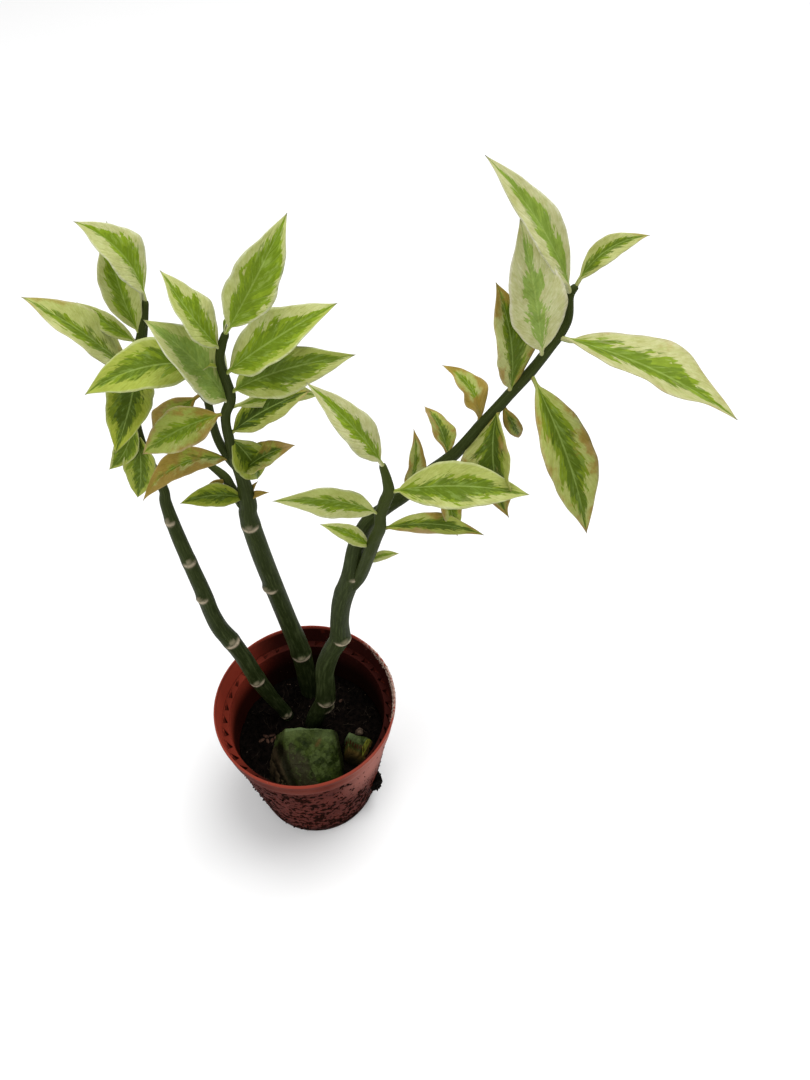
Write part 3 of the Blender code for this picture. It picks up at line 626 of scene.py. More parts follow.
# at, heading, rise, length, width, roll, bend, green share, yellow, tan, dark, ripple, droop of the tip, lean of the green
leaves = {
    "left": {
        "main": [
            (275, 190, 64, 33, 17, -30, 0.09, 0.39, 0.15, 0.00, 0.05, 0.02, 0.05, 0.26),
            (261, 112, 74, 39, 13, -5, -0.05, 0.50, 0.30, 0.25, 0.25, 0.02, 0.00, -0.05),
            (245, 185, 51, 44, 21, -5, -0.04, 0.33, 0.30, 0.38, 0.40, 0.02, 0.02, -0.14),
            (258, 160, 29, 25, 7, -45, 0.00, 0.55, 0.30, 0.05, 0.3, 0.01, 0.00, 0.00),
            (252, 262, -25, 36, 17, -10, -0.06, 0.62, 0.95, 0.08, 0.85, 0.03, 0.04, 0.08),
            (229, 215, -52, 25, 9, -55, -0.10, 0.75, 0.70, 0.05, 0.6, 0.01, 0.00, 0.00),
            (224, 240, -71, 31, 13, -25, -0.08, 0.62, 0.80, 0.15, 0.7, 0.02, 0.00, 0.00),
        ],
    },
    "middle": {
        "main": [
            (251, 195, -3, 46, 18, -35, 0.08, 0.46, 0.80, 0.02, 0.55, 0.02, 0.03, 0.12),
            (232, 205, 64, 47, 22, -45, 0.00, 0.55, 0.35, 0.00, -0.75, 0.03, 0.02, -0.06),
            (259, 175, 64, 32, 17, -10, -0.14, 0.50, 0.35, 0.00, 0.2, 0.02, 0.02, 0.10),
            (267, 10, 58, 46, 16, 80, 0.00, 0.74, 0.30, 0.00, 0.1, 0.05, 0.03, 0.18),
            (247, 0, 35, 50, 20, 30, 0.04, 0.60, 0.70, 0.00, 0.3, 0.03, 0.03, 0.10),
            (238, -10, 26, 52, 17, 70, -0.06, 0.62, 0.60, 0.00, 0.5, 0.03, 0.03, -0.05),
            (266, 20, 68, 8, 3, 0, 0.00, 0.80, 0.20, 0.35, 0.4, 0.00, 0.00, 0.00),
            (217, 20, 20, 35, 15, 20, 0.00, 0.62, 0.75, 0.40, 1.0, 0.03, 0.02, -0.05),
            (230, 40, -21, 42, 9, 85, -0.12, 0.35, 0.40, 0.10, 0.3, 0.01, 0.00, 0.00),
            (217, 35, -74, 29, 15, 90, -0.06, 0.60, 0.95, 0.05, 0.8, 0.03, 0.06, 0.00),
            (196, 0, 35, 28, 12, 25, -0.03, 0.52, 0.75, 0.62, 0.90, 0.03, 0.02, 0.00),
            (228, 200, -17, 34, 16, -45, 0.05, 0.36, 0.70, 0.60, 0.25, 0.03, 0.03, 0.00),
            (204, 205, -9, 38, 12, -25, 0.16, 0.18, 0.85, 0.91, 0.60, 0.04, 0.03, 0.00),
            (182, 200, 15, 27, 10, -40, 0.08, 0.60, 0.95, 0.30, 0.8, 0.02, 0.02, 0.00),
            (180, 20, 62, 12, 3, 40, -0.06, 0.20, 0.30, 1.00, 0.6, 0.01, 0.10, 0.00),
            (181, -10, 34, 12, 3, 40, -0.08, 0.20, 0.30, 1.00, 0.6, 0.01, 0.10, 0.00),
        ],
        "low": [(12, 200, 0, 9, 3, -75, 0.16, 0.20, 0.30, 1.00, 0.6, 0.00, 0.10, 0.00)],
        "forkLeft": [(6, 171, -54, 40, 14, -60, 0.05, 0.25, 0.90, 0.80, 0.7, 0.03, 0.03, 0.00)],
    },
    "right": {
        "main": [
            (219, 40, 81, 30, 9, 90, 0.00, 0.20, 0.40, 0.70, 0.6, 0.04, 0.05, 0.00),
            (242, 110, 12, 24, 12, 30, 0.00, 0.40, 0.60, 0.72, 0.7, 0.03, 0.03, 0.00),
            (238, -60, -60, 28, 9, 0, 0.04, 0.40, 0.80, 0.55, 0.6, 0.02, 0.02, 0.00),
            (259, 140, 45, 24, 11, 0, 0.12, 0.26, 0.45, 0.84, 0.2, 0.08, 0.06, 0.00),
            (270, 20, -65, 20, 6, 115, -0.06, 0.40, 0.80, 0.80, 0.8, 0.02, 0.05, 0.00),
            (269, -80, -51, 38, 25, 65, 0.03, 0.60, 0.60, 0.55, 0.85, 0.03, 0.02, 0.00),
            (284, -50, -54, 60, 19, 15, 0.00, 0.54, 0.38, 0.60, 0.65, 0.02, 0.02, 0.05),
            (274, 140, 76, 39, 18, -10, 0.00, 0.44, 0.50, 0.60, 0.60, 0.03, 0.02, 0.10),
            (290, 165, 75, 47, 18, -65, 0.00, 0.30, 0.00, 0.20, -0.80, 0.02, 0.00, 0.00),
            (298, -30, -8, 60, 25, -5, 0.06, 0.42, 0.00, 0.38, 0.38, 0.02, 0.03, -0.05),
            (312, 190, 56, 54, 13, -50, 0.00, 0.37, 0.02, 0.10, -0.40, 0.02, 0.00, 0.05),
            (315, 13, 34, 25, 8, 35, -0.12, 0.46, 0.25, 0.30, 0.60, 0.02, 0.02, 0.00),
        ],
        "front": [
            (79, 190, 60, 44, 12, -50, 0.00, 0.48, 0.00, 0.02, 0.15, 0.02, 0.02, 0.05),
            (55, 190, 21, 39, 13, -80, 0.16, 0.34, 0.40, 0.05, 0.35, 0.01, 0.03, -0.20),
            (34, 190, 44, 25, 7, -40, 0.04, 0.42, 0.40, 0.10, 0.3, 0.01, 0.00, 0.00),
            (47, -5, 1, 38, 9, 15, -0.04, 0.50, 0.65, 0.60, 0.8, 0.03, 0.03, 0.00),
            (22, 20, 3, 14, 4, 30, -0.08, 0.30, 0.50, 0.30, 0.3, 0.01, 0.05, 0.00),
            (67, -10, 9, 48, 17, 35, -0.04, 0.50, 0.45, 0.04, 0.55, 0.02, 0.02, 0.16),
        ],
    },
}

stemShape = {
    "spacing": 0.8,      # between rings of the surface
    "sides": 28,
    "ridges": 0.018,     # faint lengthwise angles, as a share of the radius
    "swelling": 0.13,    # how much a stem thickens at a leaf's foot
    "scarHeight": 0.32,
}


def stemTube(points, marks, young):  # marks are (distance, heading, strength) of nodes
    shape = stemShape
    route, lengths = alongRoute(points, shape["spacing"])
    centres, radii = route[:, :3], route[:, 3]
    tangents, across, other = ringFrames(centres)
    angles = np.arange(shape["sides"]) * 2 * math.pi / shape["sides"]
    outward = (across[:, None] * np.cos(angles)[None, :, None] + other[:, None] * np.sin(angles)[None, :, None])
    relief = 1 + shape["ridges"] * np.sin(5 * angles)[None, :] * np.ones((len(lengths), 1))
    relief = relief + 0.02 * np.sin(lengths * 0.21)[:, None] * np.cos(2 * angles + 0.7)[None, :]
    lift = np.zeros_like(relief)
    scar = np.zeros_like(relief)
    bud = np.zeros_like(relief)
    for distance, heading, strength in marks:
        toward = np.array([math.cos(math.radians(heading)), math.sin(math.radians(heading)), 0.0])
        facing = toward[None] - tangents * (tangents @ toward)[:, None]
        facing /= np.linalg.norm(facing, axis=1)[:, None]
        cosine = np.clip(np.einsum("ijk,ik->ij", outward, facing), -1, 1)
        gap = lengths[:, None] - distance
        relief = relief + shape["swelling"] * abs(strength) * np.exp(-(gap / 2.4) ** 2) * (0.45 + 0.55 * cosine) * (1.0 if strength > 0 else 0.5)
        if strength > 0:  # an old scar: a pale crescent under a small bud
            thick = 0.42 + 0.5 * np.clip(2 * cosine - 1, 0, 1)
            line = np.exp(-((gap - 1.3 * (1 - cosine)) / thick) ** 2) * np.clip((cosine - 0.5) * 3.5, 0, 1)
            knob = np.sqrt(np.clip(1 - ((gap - 2.1) / 1.35) ** 2 - (np.arccos(cosine) / 0.36) ** 2, 0, 1))
            scar = np.maximum(scar, line * min(1.0, strength))
            bud = np.maximum(bud, np.clip(knob * 1.3, 0, 1) * 0.85)
            lift = lift + shape["scarHeight"] * line + 1.0 * strength * knob
    ends = np.ones(len(lengths))
    tip = np.clip((lengths[-1] - lengths) / (radii[-1] * 1.2), 0, 1)
    ends = np.sqrt(np.clip(1 - (1 - tip) ** 2, 0.01, 1))
    reach = (radii[:, None] * relief + lift) * ends[:, None]
    verts = centres[:, None] + outward * reach[:, :, None]
    rows, columns = reach.shape
    faces = gridFaces(rows, columns)
    faces.append(tuple(range(columns))[::-1])
    faces.append(tuple((rows - 1) * columns + k for k in range(columns)))
    turned = np.stack(np.broadcast_arrays(np.cos(angles)[None, :], np.sin(angles)[None, :], lengths[:, None]), axis=-1)
    youth = np.clip(young[0] + (young[1] - young[0]) * lengths / lengths[-1], 0, 1)
    info = np.stack(np.broadcast_arrays(youth[:, None], scar, bud), axis=-1)
    return verts.reshape(-1, 3), faces, {"stemPlace": turned.reshape(-1, 3), "stemMarks": info.reshape(-1, 3)}


# Leaves

leafShape = {
    "rows": 40,
    "columns": 16,
    "arch": 0.08,       # bow of the rib, as a share of the length
    "fold": 18.0,       # each half stands up from the rib by this angle
    "wave": 0.035,      # wave of the margin that every leaf has, as a share of the width
    "stalk": 1.5,       # stalk width in mm
    "thickness": 0.75,
    "edge": 0.28,
}


def halfWidth(share, rounding=0.95, taper=1.2):
    widest = rounding / (rounding + taper)
    peak = widest ** rounding * (1 - widest) ** taper
    return share ** rounding * (1 - share) ** taper / peak


def leafBlade(base, facts, seed):
    (_, heading, rise, length, width, roll, bend, green, yellow, tan, dark, ripple, droop, lean) = facts
    shape = leafShape
    h, r, turn = (math.radians(value) for value in (heading, rise, roll))
    forward = np.array([math.cos(r) * math.cos(h), math.cos(r) * math.sin(h), math.sin(r)])
    level = np.array([math.sin(h), -math.cos(h), 0.0])
    up = np.cross(level, forward)
    side = level * math.cos(turn) - up * math.sin(turn)
    up = up * math.cos(turn) + level * math.sin(turn)
    rows = shape["rows"] if length > 20 else shape["rows"] // 2
    columns = shape["columns"] if length > 20 else shape["columns"] // 2
    u = np.linspace(0, 1, rows + 1)[:, None]
    u = u - 0.018 * np.sin(2 * math.pi * u)  # finer near both ends
    v = np.linspace(-1, 1, columns + 1)[None, :]
    fold = math.radians(shape["fold"])
    share = np.clip((u - 0.07) / 0.93, 0, 1)
    blade = width / 2 * halfWidth(share)
    stalk = min(shape["stalk"], width * 0.4) / 2 * np.sqrt(1 - u)
    reach = np.maximum(blade, stalk)
    stalky = np.clip(1 - blade / (stalk * 2.5 + 0.01), 0, 1) * np.clip(1.6 - 5 * u, 0, 1)  # 1 on the stalk, 0 on the blade
    softV = np.sqrt(v * v + 0.012) - math.sqrt(0.012)
    phase = seed * 6.28
    shared = np.sin(2 * math.pi * (2.2 * u + 0.25 * (v > 0)))
    own = np.sin(2 * math.pi * (1.4 * u + 0.31 * np.sign(v)) + phase) + 0.45 * np.sin(2 * math.pi * 3.4 * u + phase * 1.7 + v * 2)
    wave = width * v * v * halfWidth(share) * (shape["wave"] * shared + ripple * own)
    quilt = 0.09 * np.sin(2 * math.pi * 11 * (u - 0.24 * np.abs(v))) * np.abs(v) * (1 - np.abs(v)) * halfWidth(share)
    rib = (base[None, None] + forward * (u * length)[..., None] + side * (bend * 4 * u * (1 - u) * length)[..., None]
           + up * ((shape["arch"] * 4 * u * (1 - u) - droop * u ** 3 + droop * u) * length)[..., None])
    uneven = (0.016 + ripple * 0.7) * np.sin(2 * math.pi * 3.1 * u + phase + 2 * np.sign(v))
    uneven = uneven + 0.013 * np.sin(2 * math.pi * 7.3 * u + phase * 2.3 + 1.3 * np.sign(v))
    ragged = 1 + uneven * np.abs(v) ** 3
    middle = (rib + side * (v * reach * math.cos(fold) * ragged)[..., None]
              + up * (softV * reach * math.sin(fold) * (1 - 0.5 * stalky) + wave + quilt)[..., None])
    alongStep = np.gradient(middle, axis=0)
    acrossStep = np.gradient(middle, axis=1)
    normal = np.cross(acrossStep, alongStep)
    normal /= np.maximum(np.linalg.norm(normal, axis=2), 1e-9)[..., None]
    normal[-1] = normal[-2]
    thick = shape["edge"] + (shape["thickness"] - shape["edge"]) * (1 - np.abs(v) ** 1.5) * np.ones_like(u)
    keel = 0.35 * np.exp(-(v / 0.09) ** 2) * (1 - u)  # the rib stands out underneath
    thick = thick * (1 - 0.65 * u ** 4)
    thick = thick + stalky * (np.sqrt(np.clip(1 - v * v, 0, 1)) * min(1.3, width * 0.25) - thick * 0.6)
    top = middle + normal * (thick / 2)[..., None]
    low = middle - normal * (thick / 2 + keel)[..., None]
    verts = np.concatenate([top.reshape(-1, 3), low.reshape(-1, 3)])
    wide = columns + 1
    half = (rows + 1) * wide
    faces = []
    for row in range(rows):
        for column in range(columns):
            a = row * wide + column
            faces.append((a, a + 1, a + wide + 1, a + wide))
            faces.append((half + a, half + a + wide, half + a + wide + 1, half + a + 1))
    border = ([column for column in range(columns)] + [row * wide + columns for row in range(rows)]
              + [rows * wide + column for column in range(columns, 0, -1)] + [row * wide for row in range(rows, 0, -1)])
    for a, b in zip(border, border[1:] + border[:1]):
        faces.append((b, a, half + a, half + b))
    one = np.ones_like(middle[..., 0])
    place = np.stack([u * one, v * one, seed * one], axis=-1).reshape(-1, 3)
    tint = np.tile([yellow, tan, dark], (2 * half, 1))
    zone = np.concatenate([np.tile([green, 0.0, lean], (half, 1)), np.tile([green, 1.0, lean], (half, 1))])
    return verts, faces, {"leafPlace": np.concatenate([place, place]), "leafTint": tint, "leafZone": zone}


def makeLeafyStem(side, stemMaterial, leafMaterial):
    facts = stems[side]
    tubes, blades = [], []
    for shoot, points in facts.items():
        if shoot == "scars":
            continue
        rows = leaves[side].get(shoot, [])
        marks = [(row[0], row[1], -0.9) for row in rows if row[3] > 14]
        if shoot == "main":
            marks += facts["scars"]
            young = (0.0, 0.75)
        else:
            young = (0.35, 1.0)
        tubes.append(stemTube(points, marks, young))
        for number, row in enumerate(rows):
            seed = (number * 0.377 + len(shoot) * 0.19 + len(side) * 0.11) % 1.0
            blades.append(leafBlade(pointAlong(points, row[0]), row, seed))
    node, slot = "leafy_stem_" + side, "stem_" + side
    newPiece(side + "Stems", *gather(tubes)[:2], stemMaterial, [node], slot, gather(tubes)[2])
    newPiece(side + "Leaves", *gather(blades)[:2], leafMaterial, [node], slot, gather(blades)[2])


# Pot

potShape = {
    "height": 88.0, "topRadius": 45.0, "footRadius": 32.4,
    "band": 12.0,        # height of the plain band under the rim
    "bandTaper": 1.4, "bandStep": 0.8,
    "wall": 1.0, "floor": 1.6,
    "ledge": 3.6,        # width of the inner shelf
    "notches": 36, "notchDepth": 2.4,
    "drainRing": 20.0, "drainRadius": 3.5, "drains": 6,
}


def wallRadius(z):
    p = potShape
    top = p["height"] - p["band"]
    return p["footRadius"] + (p["topRadius"] - p["bandTaper"] - p["bandStep"] - p["footRadius"]) * z / top


def makePot(material):
    p = potShape
    high, shelf = p["height"], p["height"] - p["band"]
    inside = p["topRadius"] - p["wall"]
    outer = [(0.0, 0.0), (12.0, 0.0), (26.0, 0.0), (31.0, 0.0), (31.6, 0.05), (32.2, 0.35), (32.5, 1.0)]
    outer += [(wallRadius(z), z) for z in (4, 10, 18, 26, 34, 42, 50, 58, 66, 72, shelf - 0.9)]
    step = p["topRadius"] - p["bandTaper"]
    outer += [(wallRadius(shelf - 0.5) + 0.15, shelf - 0.45), (step - 0.25, shelf - 0.25), (step, shelf + 0.1)]
    outer += [(p["topRadius"] - 0.35 - 1.0 * (1 - t), shelf + 0.1 + (high - 2.6 - shelf) * t) for t in (0.35, 0.7, 1.0)]
    outer += [(p["topRadius"] - 0.12, high - 2.2), (p["topRadius"], high - 1.7), (p["topRadius"], high - 0.7),
              (p["topRadius"] - 0.15, high - 0.25), (p["topRadius"] - 0.45, high), (inside + 0.25, high - 0.02),
              (inside + 0.05, high - 0.3), (inside, high - 0.8)]
    lip = p["bandTaper"] - 0.2
    outer += [(inside - lip * t, high - 0.8 - (p["band"] - 0.8) * t) for t in (0.3, 0.65, 0.93)]
    corner = len(outer)
    ledgeOut = inside - lip
    ledgeIn = wallRadius(shelf) - p["ledge"]
    notchIn, notchOut = ledgeIn + 0.6, ledgeOut - 0.05
    outer += [(ledgeOut, shelf), (notchOut + 0.06, shelf), (notchOut, shelf), (notchIn, shelf), (notchIn - 0.06, shelf),
              (ledgeIn + 0.15, shelf), (ledgeIn - 0.02, shelf - 0.2)]
    outer += [(wallRadius(z) - p["wall"] - (z - 50) / 26 * 2.5, z) for z in (72, 66, 60, 55, 50)]
    outer += [(wallRadius(z) - p["wall"], z) for z in (42, 34, 24, 14, 6)]
    outer += [(wallRadius(p["floor"] + 1) - p["wall"], p["floor"] + 1), (wallRadius(p["floor"]) - p["wall"] - 0.6, p["floor"]),
              (24.0, p["floor"]), (12.0, p["floor"]), (0.0, p["floor"])]
    beats = [(0.0, 0.0), (0.14, 0.0), (0.145, 0.0), (0.48, 0.5), (0.855, 1.0), (0.86, 0.0)]
    angles, deep, slant = [], [], []
    for notch in range(p["notches"]):
        for at, depth in beats:
            angles.append((notch + at) * 2 * math.pi / p["notches"])
            deep.append(depth * p["notchDepth"])
            slant.append(min(1.0, max(0.0, (0.80 - at) / 0.655)) * (notchOut - notchIn - 0.35))
    count = len(angles)
    verts = []
    rings = outer[1:-1]
    narrowing = {corner + 2: -0.32, corner + 3: 0.05}  # both sides of a notch lean inwards
    for row, (radius, z) in enumerate(rings):
        for angle, depth, shift in zip(angles, deep, slant):
            low = depth if row + 1 in narrowing else 0.0
            reach = radius + narrowing.get(row + 1, 0.0) * low + (shift if row + 1 in (corner + 3, corner + 4) else 0.0)
            verts.append((reach * math.cos(angle), reach * math.sin(angle), z - low))
    faces = [face for face in gridFaces(len(rings), count)]
    for centre, row in ((0.0, 0), (p["floor"], len(rings) - 1)):
        verts.append((0.0, 0.0, centre))
        middle = len(verts) - 1
        for k in range(count):
            a, b = row * count + k, row * count + (k + 1) % count
            faces.append((middle, b, a) if row == 0 else (middle, a, b))
    piece = newPiece("potShell", verts, faces, material, ["pot"], "pot_plastic", smooth=False)
    cutters = bpy.data.collections.new("drainCutters")
    bpy.context.scene.collection.children.link(cutters)
    for k in range(p["drains"]):
        angle = (k + 0.5) * 2 * math.pi / p["drains"]
        bm = bmesh.new()
        bmesh.ops.create_cone(bm, cap_ends=True, segments=32, radius1=p["drainRadius"] * mm,
                              radius2=p["drainRadius"] * mm, depth=6 * mm)
        mesh = bpy.data.meshes.new("drainCutter")
        bm.to_mesh(mesh)
        bm.free()
        drain = bpy.data.objects.new("drainCutter", mesh)
        drain.location = (p["drainRing"] * math.cos(angle) * mm, p["drainRing"] * math.sin(angle) * mm, 0.0008)
        cutters.objects.link(drain)
    cut = piece.modifiers.new("drains", "BOOLEAN")
    cut.operation, cut.operand_type, cut.collection, cut.solver = "DIFFERENCE", "COLLECTION", cutters, "EXACT"
    applyModifiers(piece)
    for item in list(cutters.objects):
        bpy.data.objects.remove(item, do_unlink=True)
    bpy.data.collections.remove(cutters)
    marks = piece.data.attributes.get("potMarks") or piece.data.attributes.new("potMarks", "FLOAT_VECTOR", "POINT")
    for vert, mark in zip(piece.data.vertices, marks.data):
        x, y, z = vert.co / mm
        radius = math.hypot(x, y)
        wallMiddle = wallRadius(z) - p["wall"] / 2 if z < shelf - 0.2 else 43.2 + 1.15 * (z - shelf) / p["band"]
        sunk = shelf - z if 0.1 < shelf - z < p["notchDepth"] + 0.1 and ledgeIn + 0.2 < radius < wallMiddle else 0.0
        mark.vector = (1.0 if z < 0.8 or radius > wallMiddle else 0.0, min(1.0, sunk / 1.4), 0.0)
    piece.data.shade_smooth()
    piece.data.set_sharp_from_angle(angle=math.radians(38))
    return piece


def applyModifiers(piece):
    bpy.context.view_layer.update()
    graph = bpy.context.evaluated_depsgraph_get()
    fresh = bpy.data.meshes.new_from_object(piece.evaluated_get(graph))
    piece.modifiers.clear()
    piece.data = fresh


# Soil and the bits that lie on it

soilShape = {"level": 50.0, "uneven": 1.1, "gap": 0.3, "crumb": 0.9, "rings": 62, "spokes": 168}


def soilHeight(x, y):
    s = soilShape
    waves = math.sin(x * 0.21 + 0.6) * math.cos(y * 0.17 - 0.4) + 0.6 * math.sin(0.33 * y + 0.12 * x)
    rough = noise.fractal(Vector((x * 0.32, y * 0.32, 4.0)), 0.6, 2.2, 5)
    return s["level"] + s["uneven"] * waves / 1.6 + s["crumb"] * rough


def makeSoil(material):
    s = soilShape
    edge = wallRadius(s["level"]) - potShape["wall"] - s["gap"]
    verts = [(0.0, 0.0, soilHeight(0, 0))]
    for ring in range(1, s["rings"] + 1):
        radius = edge * (ring / s["rings"]) ** 0.9
        for spoke in range(s["spokes"]):
            angle = spoke * 2 * math.pi / s["spokes"]
            x, y = radius * math.cos(angle), radius * math.sin(angle)
            verts.append((x, y, soilHeight(x, y)))
    foot = potShape["floor"] + s["gap"]
    for radius, z in ((edge, s["level"] - 4), (wallRadius(foot + 1) - potShape["wall"] - 0.5, foot + 1),
                      (wallRadius(foot) - potShape["wall"] - 1.3, foot)):
        for spoke in range(s["spokes"]):
            angle = spoke * 2 * math.pi / s["spokes"]
            verts.append((radius * math.cos(angle), radius * math.sin(angle), z))
    verts.append((0.0, 0.0, foot))
    faces = [(face[3], face[2], face[1], face[0]) for face in gridFaces(s["rings"] + 3, s["spokes"], 1)]
    last = 1 + (s["rings"] + 2) * s["spokes"]
    for k in range(s["spokes"]):
        nextOne = (k + 1) % s["spokes"]
        faces.append((0, 1 + k, 1 + nextOne))
        faces.append((len(verts) - 1, last + nextOne, last + k))
    return newPiece("soilHeap", verts, [f[::-1] if len(f) == 4 else f for f in faces], material, ["soil"], "soil")


def stones(name, spots, material, slot, squash=0.7, subdivisions=2):  # spots are (x, y, z, size)
    bm = bmesh.new()
    bmesh.ops.create_icosphere(bm, subdivisions=subdivisions, radius=1.0)
    ball = np.array([vert.co[:] for vert in bm.verts])
    ballFaces = [tuple(vert.index for vert in face.verts) for face in bm.faces]
    bm.free()
    parts = []
    for x, y, z, size in spots:
        stretch = np.array([dice.uniform(0.7, 1.3), dice.uniform(0.7, 1.3), dice.uniform(0.5, 0.9) * squash / 0.7])
        turn = dice.uniform(0, 6.28)
        lump = ball * (1 + 0.22 * np.sin(ball @ np.array([dice.uniform(2, 4), dice.uniform(2, 4), dice.uniform(2, 4)])
                                         + dice.uniform(0, 6)))[:, None] * stretch * size
        c, s = math.cos(turn), math.sin(turn)
        lump = lump @ np.array([[c, s, 0], [-s, c, 0], [0, 0, 1]]) + (x, y, z)
        parts.append((lump, ballFaces, {}))
    verts, faces, _ = gather(parts)
    return newPiece(name, verts, faces, material, (), slot)


def onSoil(reachOut=1.0):
    edge = wallRadius(soilShape["level"]) - potShape["wall"] - 1.2
    radius, angle = edge * math.sqrt(dice.random()) * reachOut, dice.uniform(0, 2 * math.pi)
    return radius * math.cos(angle), radius * math.sin(angle)


def thread(points, radius, sides=5):
    centres = np.asarray(points, dtype=float)
    _, across, other = ringFrames(centres)
    angles = np.arange(sides) * 2 * math.pi / sides
    ring = across[:, None] * np.cos(angles)[None, :, None] + other[:, None] * np.sin(angles)[None, :, None]
    verts = centres[:, None] + ring * radius
    faces = gridFaces(len(centres), sides)
    faces += [tuple(range(sides))[::-1], tuple((len(centres) - 1) * sides + k for k in range(sides))]
    return verts.reshape(-1, 3), faces, {}


soilBits = {"grains": 900, "paleGrains": 46, "fibres": 150, "fibreRadius": 0.12}


def makeBits(soilMaterial):
    bits = soilBits
    fibreMaterial = makeBitsMaterial("dryFibre", (0.006, 0.004, 0.002), (0.036, 0.026, 0.018), 500.0)
    chipMaterial = makeBitsMaterial("woodChip", (0.018, 0.008, 0.005), (0.085, 0.043, 0.028), 420.0)
    stoneMaterial = makeBitsMaterial("paleGrit", (0.030, 0.020, 0.013), (0.11, 0.075, 0.050), 700.0)
    spots = []
    for _ in range(bits["grains"]):
        x, y = onSoil()
        spots.append((x, y, soilHeight(x, y) + dice.uniform(-0.2, 0.25), dice.uniform(0.25, 0.9)))
    stones("soilCrumbs", spots, soilMaterial, "soil", subdivisions=1)
    spots = []
    for _ in range(bits["paleGrains"]):
        x, y = onSoil()
        spots.append((x, y, soilHeight(x, y) + 0.15, dice.uniform(0.15, 0.38)))
    spots.append((25.4, 1.6, soilHeight(25.4, 1.6) + 0.9, 2.1))  # the one larger pebble, behind the small cut piece
    stones("soilGrit", spots, stoneMaterial, "soil")
    parts = []
    for _ in range(bits["fibres"]):
        x, y = onSoil(0.96)
        heading, length, curl = dice.uniform(0, 6.28), dice.uniform(2.5, 7.5), dice.uniform(-0.25, 0.25)
        points = []
        for k in range(7):
            points.append((x, y, soilHeight(x, y) + 0.25 + 0.35 * math.sin(k * 0.5)))
            heading += curl
            x, y = x + math.cos(heading) * length / 6, y + math.sin(heading) * length / 6
            if math.hypot(x, y) > 37:
                break
        if len(points) > 3:
            parts.append(thread(points, bits["fibreRadius"] * dice.uniform(0.6, 1.3)))
    verts, faces, _ = gather(parts)
    newPiece("soilFibres", verts, faces, fibreMaterial, (), "soil")
    chips = [(-26.0, -3.4, 25, 3.6), (-24.1, -0.8, -30, 4.0), (-21.0, 0.0, 10, 3.8), (-18.9, -1.5, 50, 3.0),
             (-22.9, -3.6, -65, 3.2), (-20.6, -3.2, 80, 2.6), (14.5, 20.0, 40, 2.4)]
    parts = []
    for x, y, turn, length in chips:
        a = math.radians(turn)
        reach = np.array([math.cos(a), math.sin(a), 0.12])
        side = np.array([-math.sin(a), math.cos(a), 0.0])
        base = np.array([x, y, soilHeight(x, y) + 0.5])
        ring = []
        for t, half in ((-0.5, 0.35), (-0.3, 0.8), (0.05, 0.95), (0.32, 0.7), (0.5, 0.2)):
            for sideways, rise in ((-1, -0.3), (1, -0.35), (0.9, 0.4), (0.1, 0.62), (-0.85, 0.35)):
                jitter = dice.uniform(0.85, 1.15)
                ring.append(base + reach * t * length + side * sideways * half * jitter
                            + np.array([0, 0, rise * (0.5 + half * 0.6)]))
        faces = gridFaces(5, 5) + [(4, 3, 2, 1, 0), (20, 21, 22, 23, 24)]
        parts.append((np.array(ring), faces, {}))
    verts, faces, _ = gather(parts)
    chipPiece = newPiece("woodChips", verts, faces, chipMaterial, (), "soil")
    rounder = chipPiece.modifiers.new("rounder", "SUBSURF")
    rounder.levels = rounder.render_levels = 2
    applyModifiers(chipPiece)


clodShape = {"bearing": -22.0, "height": 23.5, "size": (3.4, 3.9, 8.0), "sink": 1.4}


potGrit = {
    "crustGrains": 520, "crustFrom": -14, "crustTo": 48,      # bearings along the rim, in degrees
    "wallGrains": 420, "wallSize": (0.22, 0.75),
}


def makeGrit(soilMaterial):  # mineral crust on the rim, crumbs stuck to the wall
    g = potGrit
    crustMaterial = makeBitsMaterial("mineralCrust", (0.20, 0.12, 0.09), (0.50, 0.38, 0.31), 900.0)
    spots = []
    for _ in range(g["crustGrains"]):
        along = dice.betavariate(1.5, 2.2)
        bearing = math.radians(g["crustFrom"] + (g["crustTo"] - g["crustFrom"]) * along)
        drop = dice.random() ** 2 * 3.2
        radius = 43.9 - 0.12 * drop if dice.random() < 0.85 else 44.75 - 0.12 * drop
        radius, drop = (radius, drop) if drop > 0.7 else (dice.uniform(44.1, 44.8), 0.0)
        spots.append((radius * math.cos(bearing), radius * math.sin(bearing), 87.8 - drop, dice.uniform(0.14, 0.42)))
    stones("rimCrust", spots, crustMaterial, "pot_plastic", subdivisions=1)
    spots = []
    while len(spots) < g["wallGrains"]:
        bearing, height = dice.uniform(0, 2 * math.pi), 74 * dice.random() ** 1.35 + 0.6
        patch = noise.noise(Vector((math.cos(bearing) * 2.2, math.sin(bearing) * 2.2, height * 0.05)))
        if patch < dice.uniform(-0.25, 0.3):
            continue
        size = g["wallSize"][0] + (g["wallSize"][1] - g["wallSize"][0]) * dice.random() ** 2.5
        radius = wallRadius(height) + 0.05
        spots.append((radius * math.cos(bearing), radius * math.sin(bearing), height, size))
    stones("wallGrit", spots, soilMaterial, "soil", subdivisions=1)


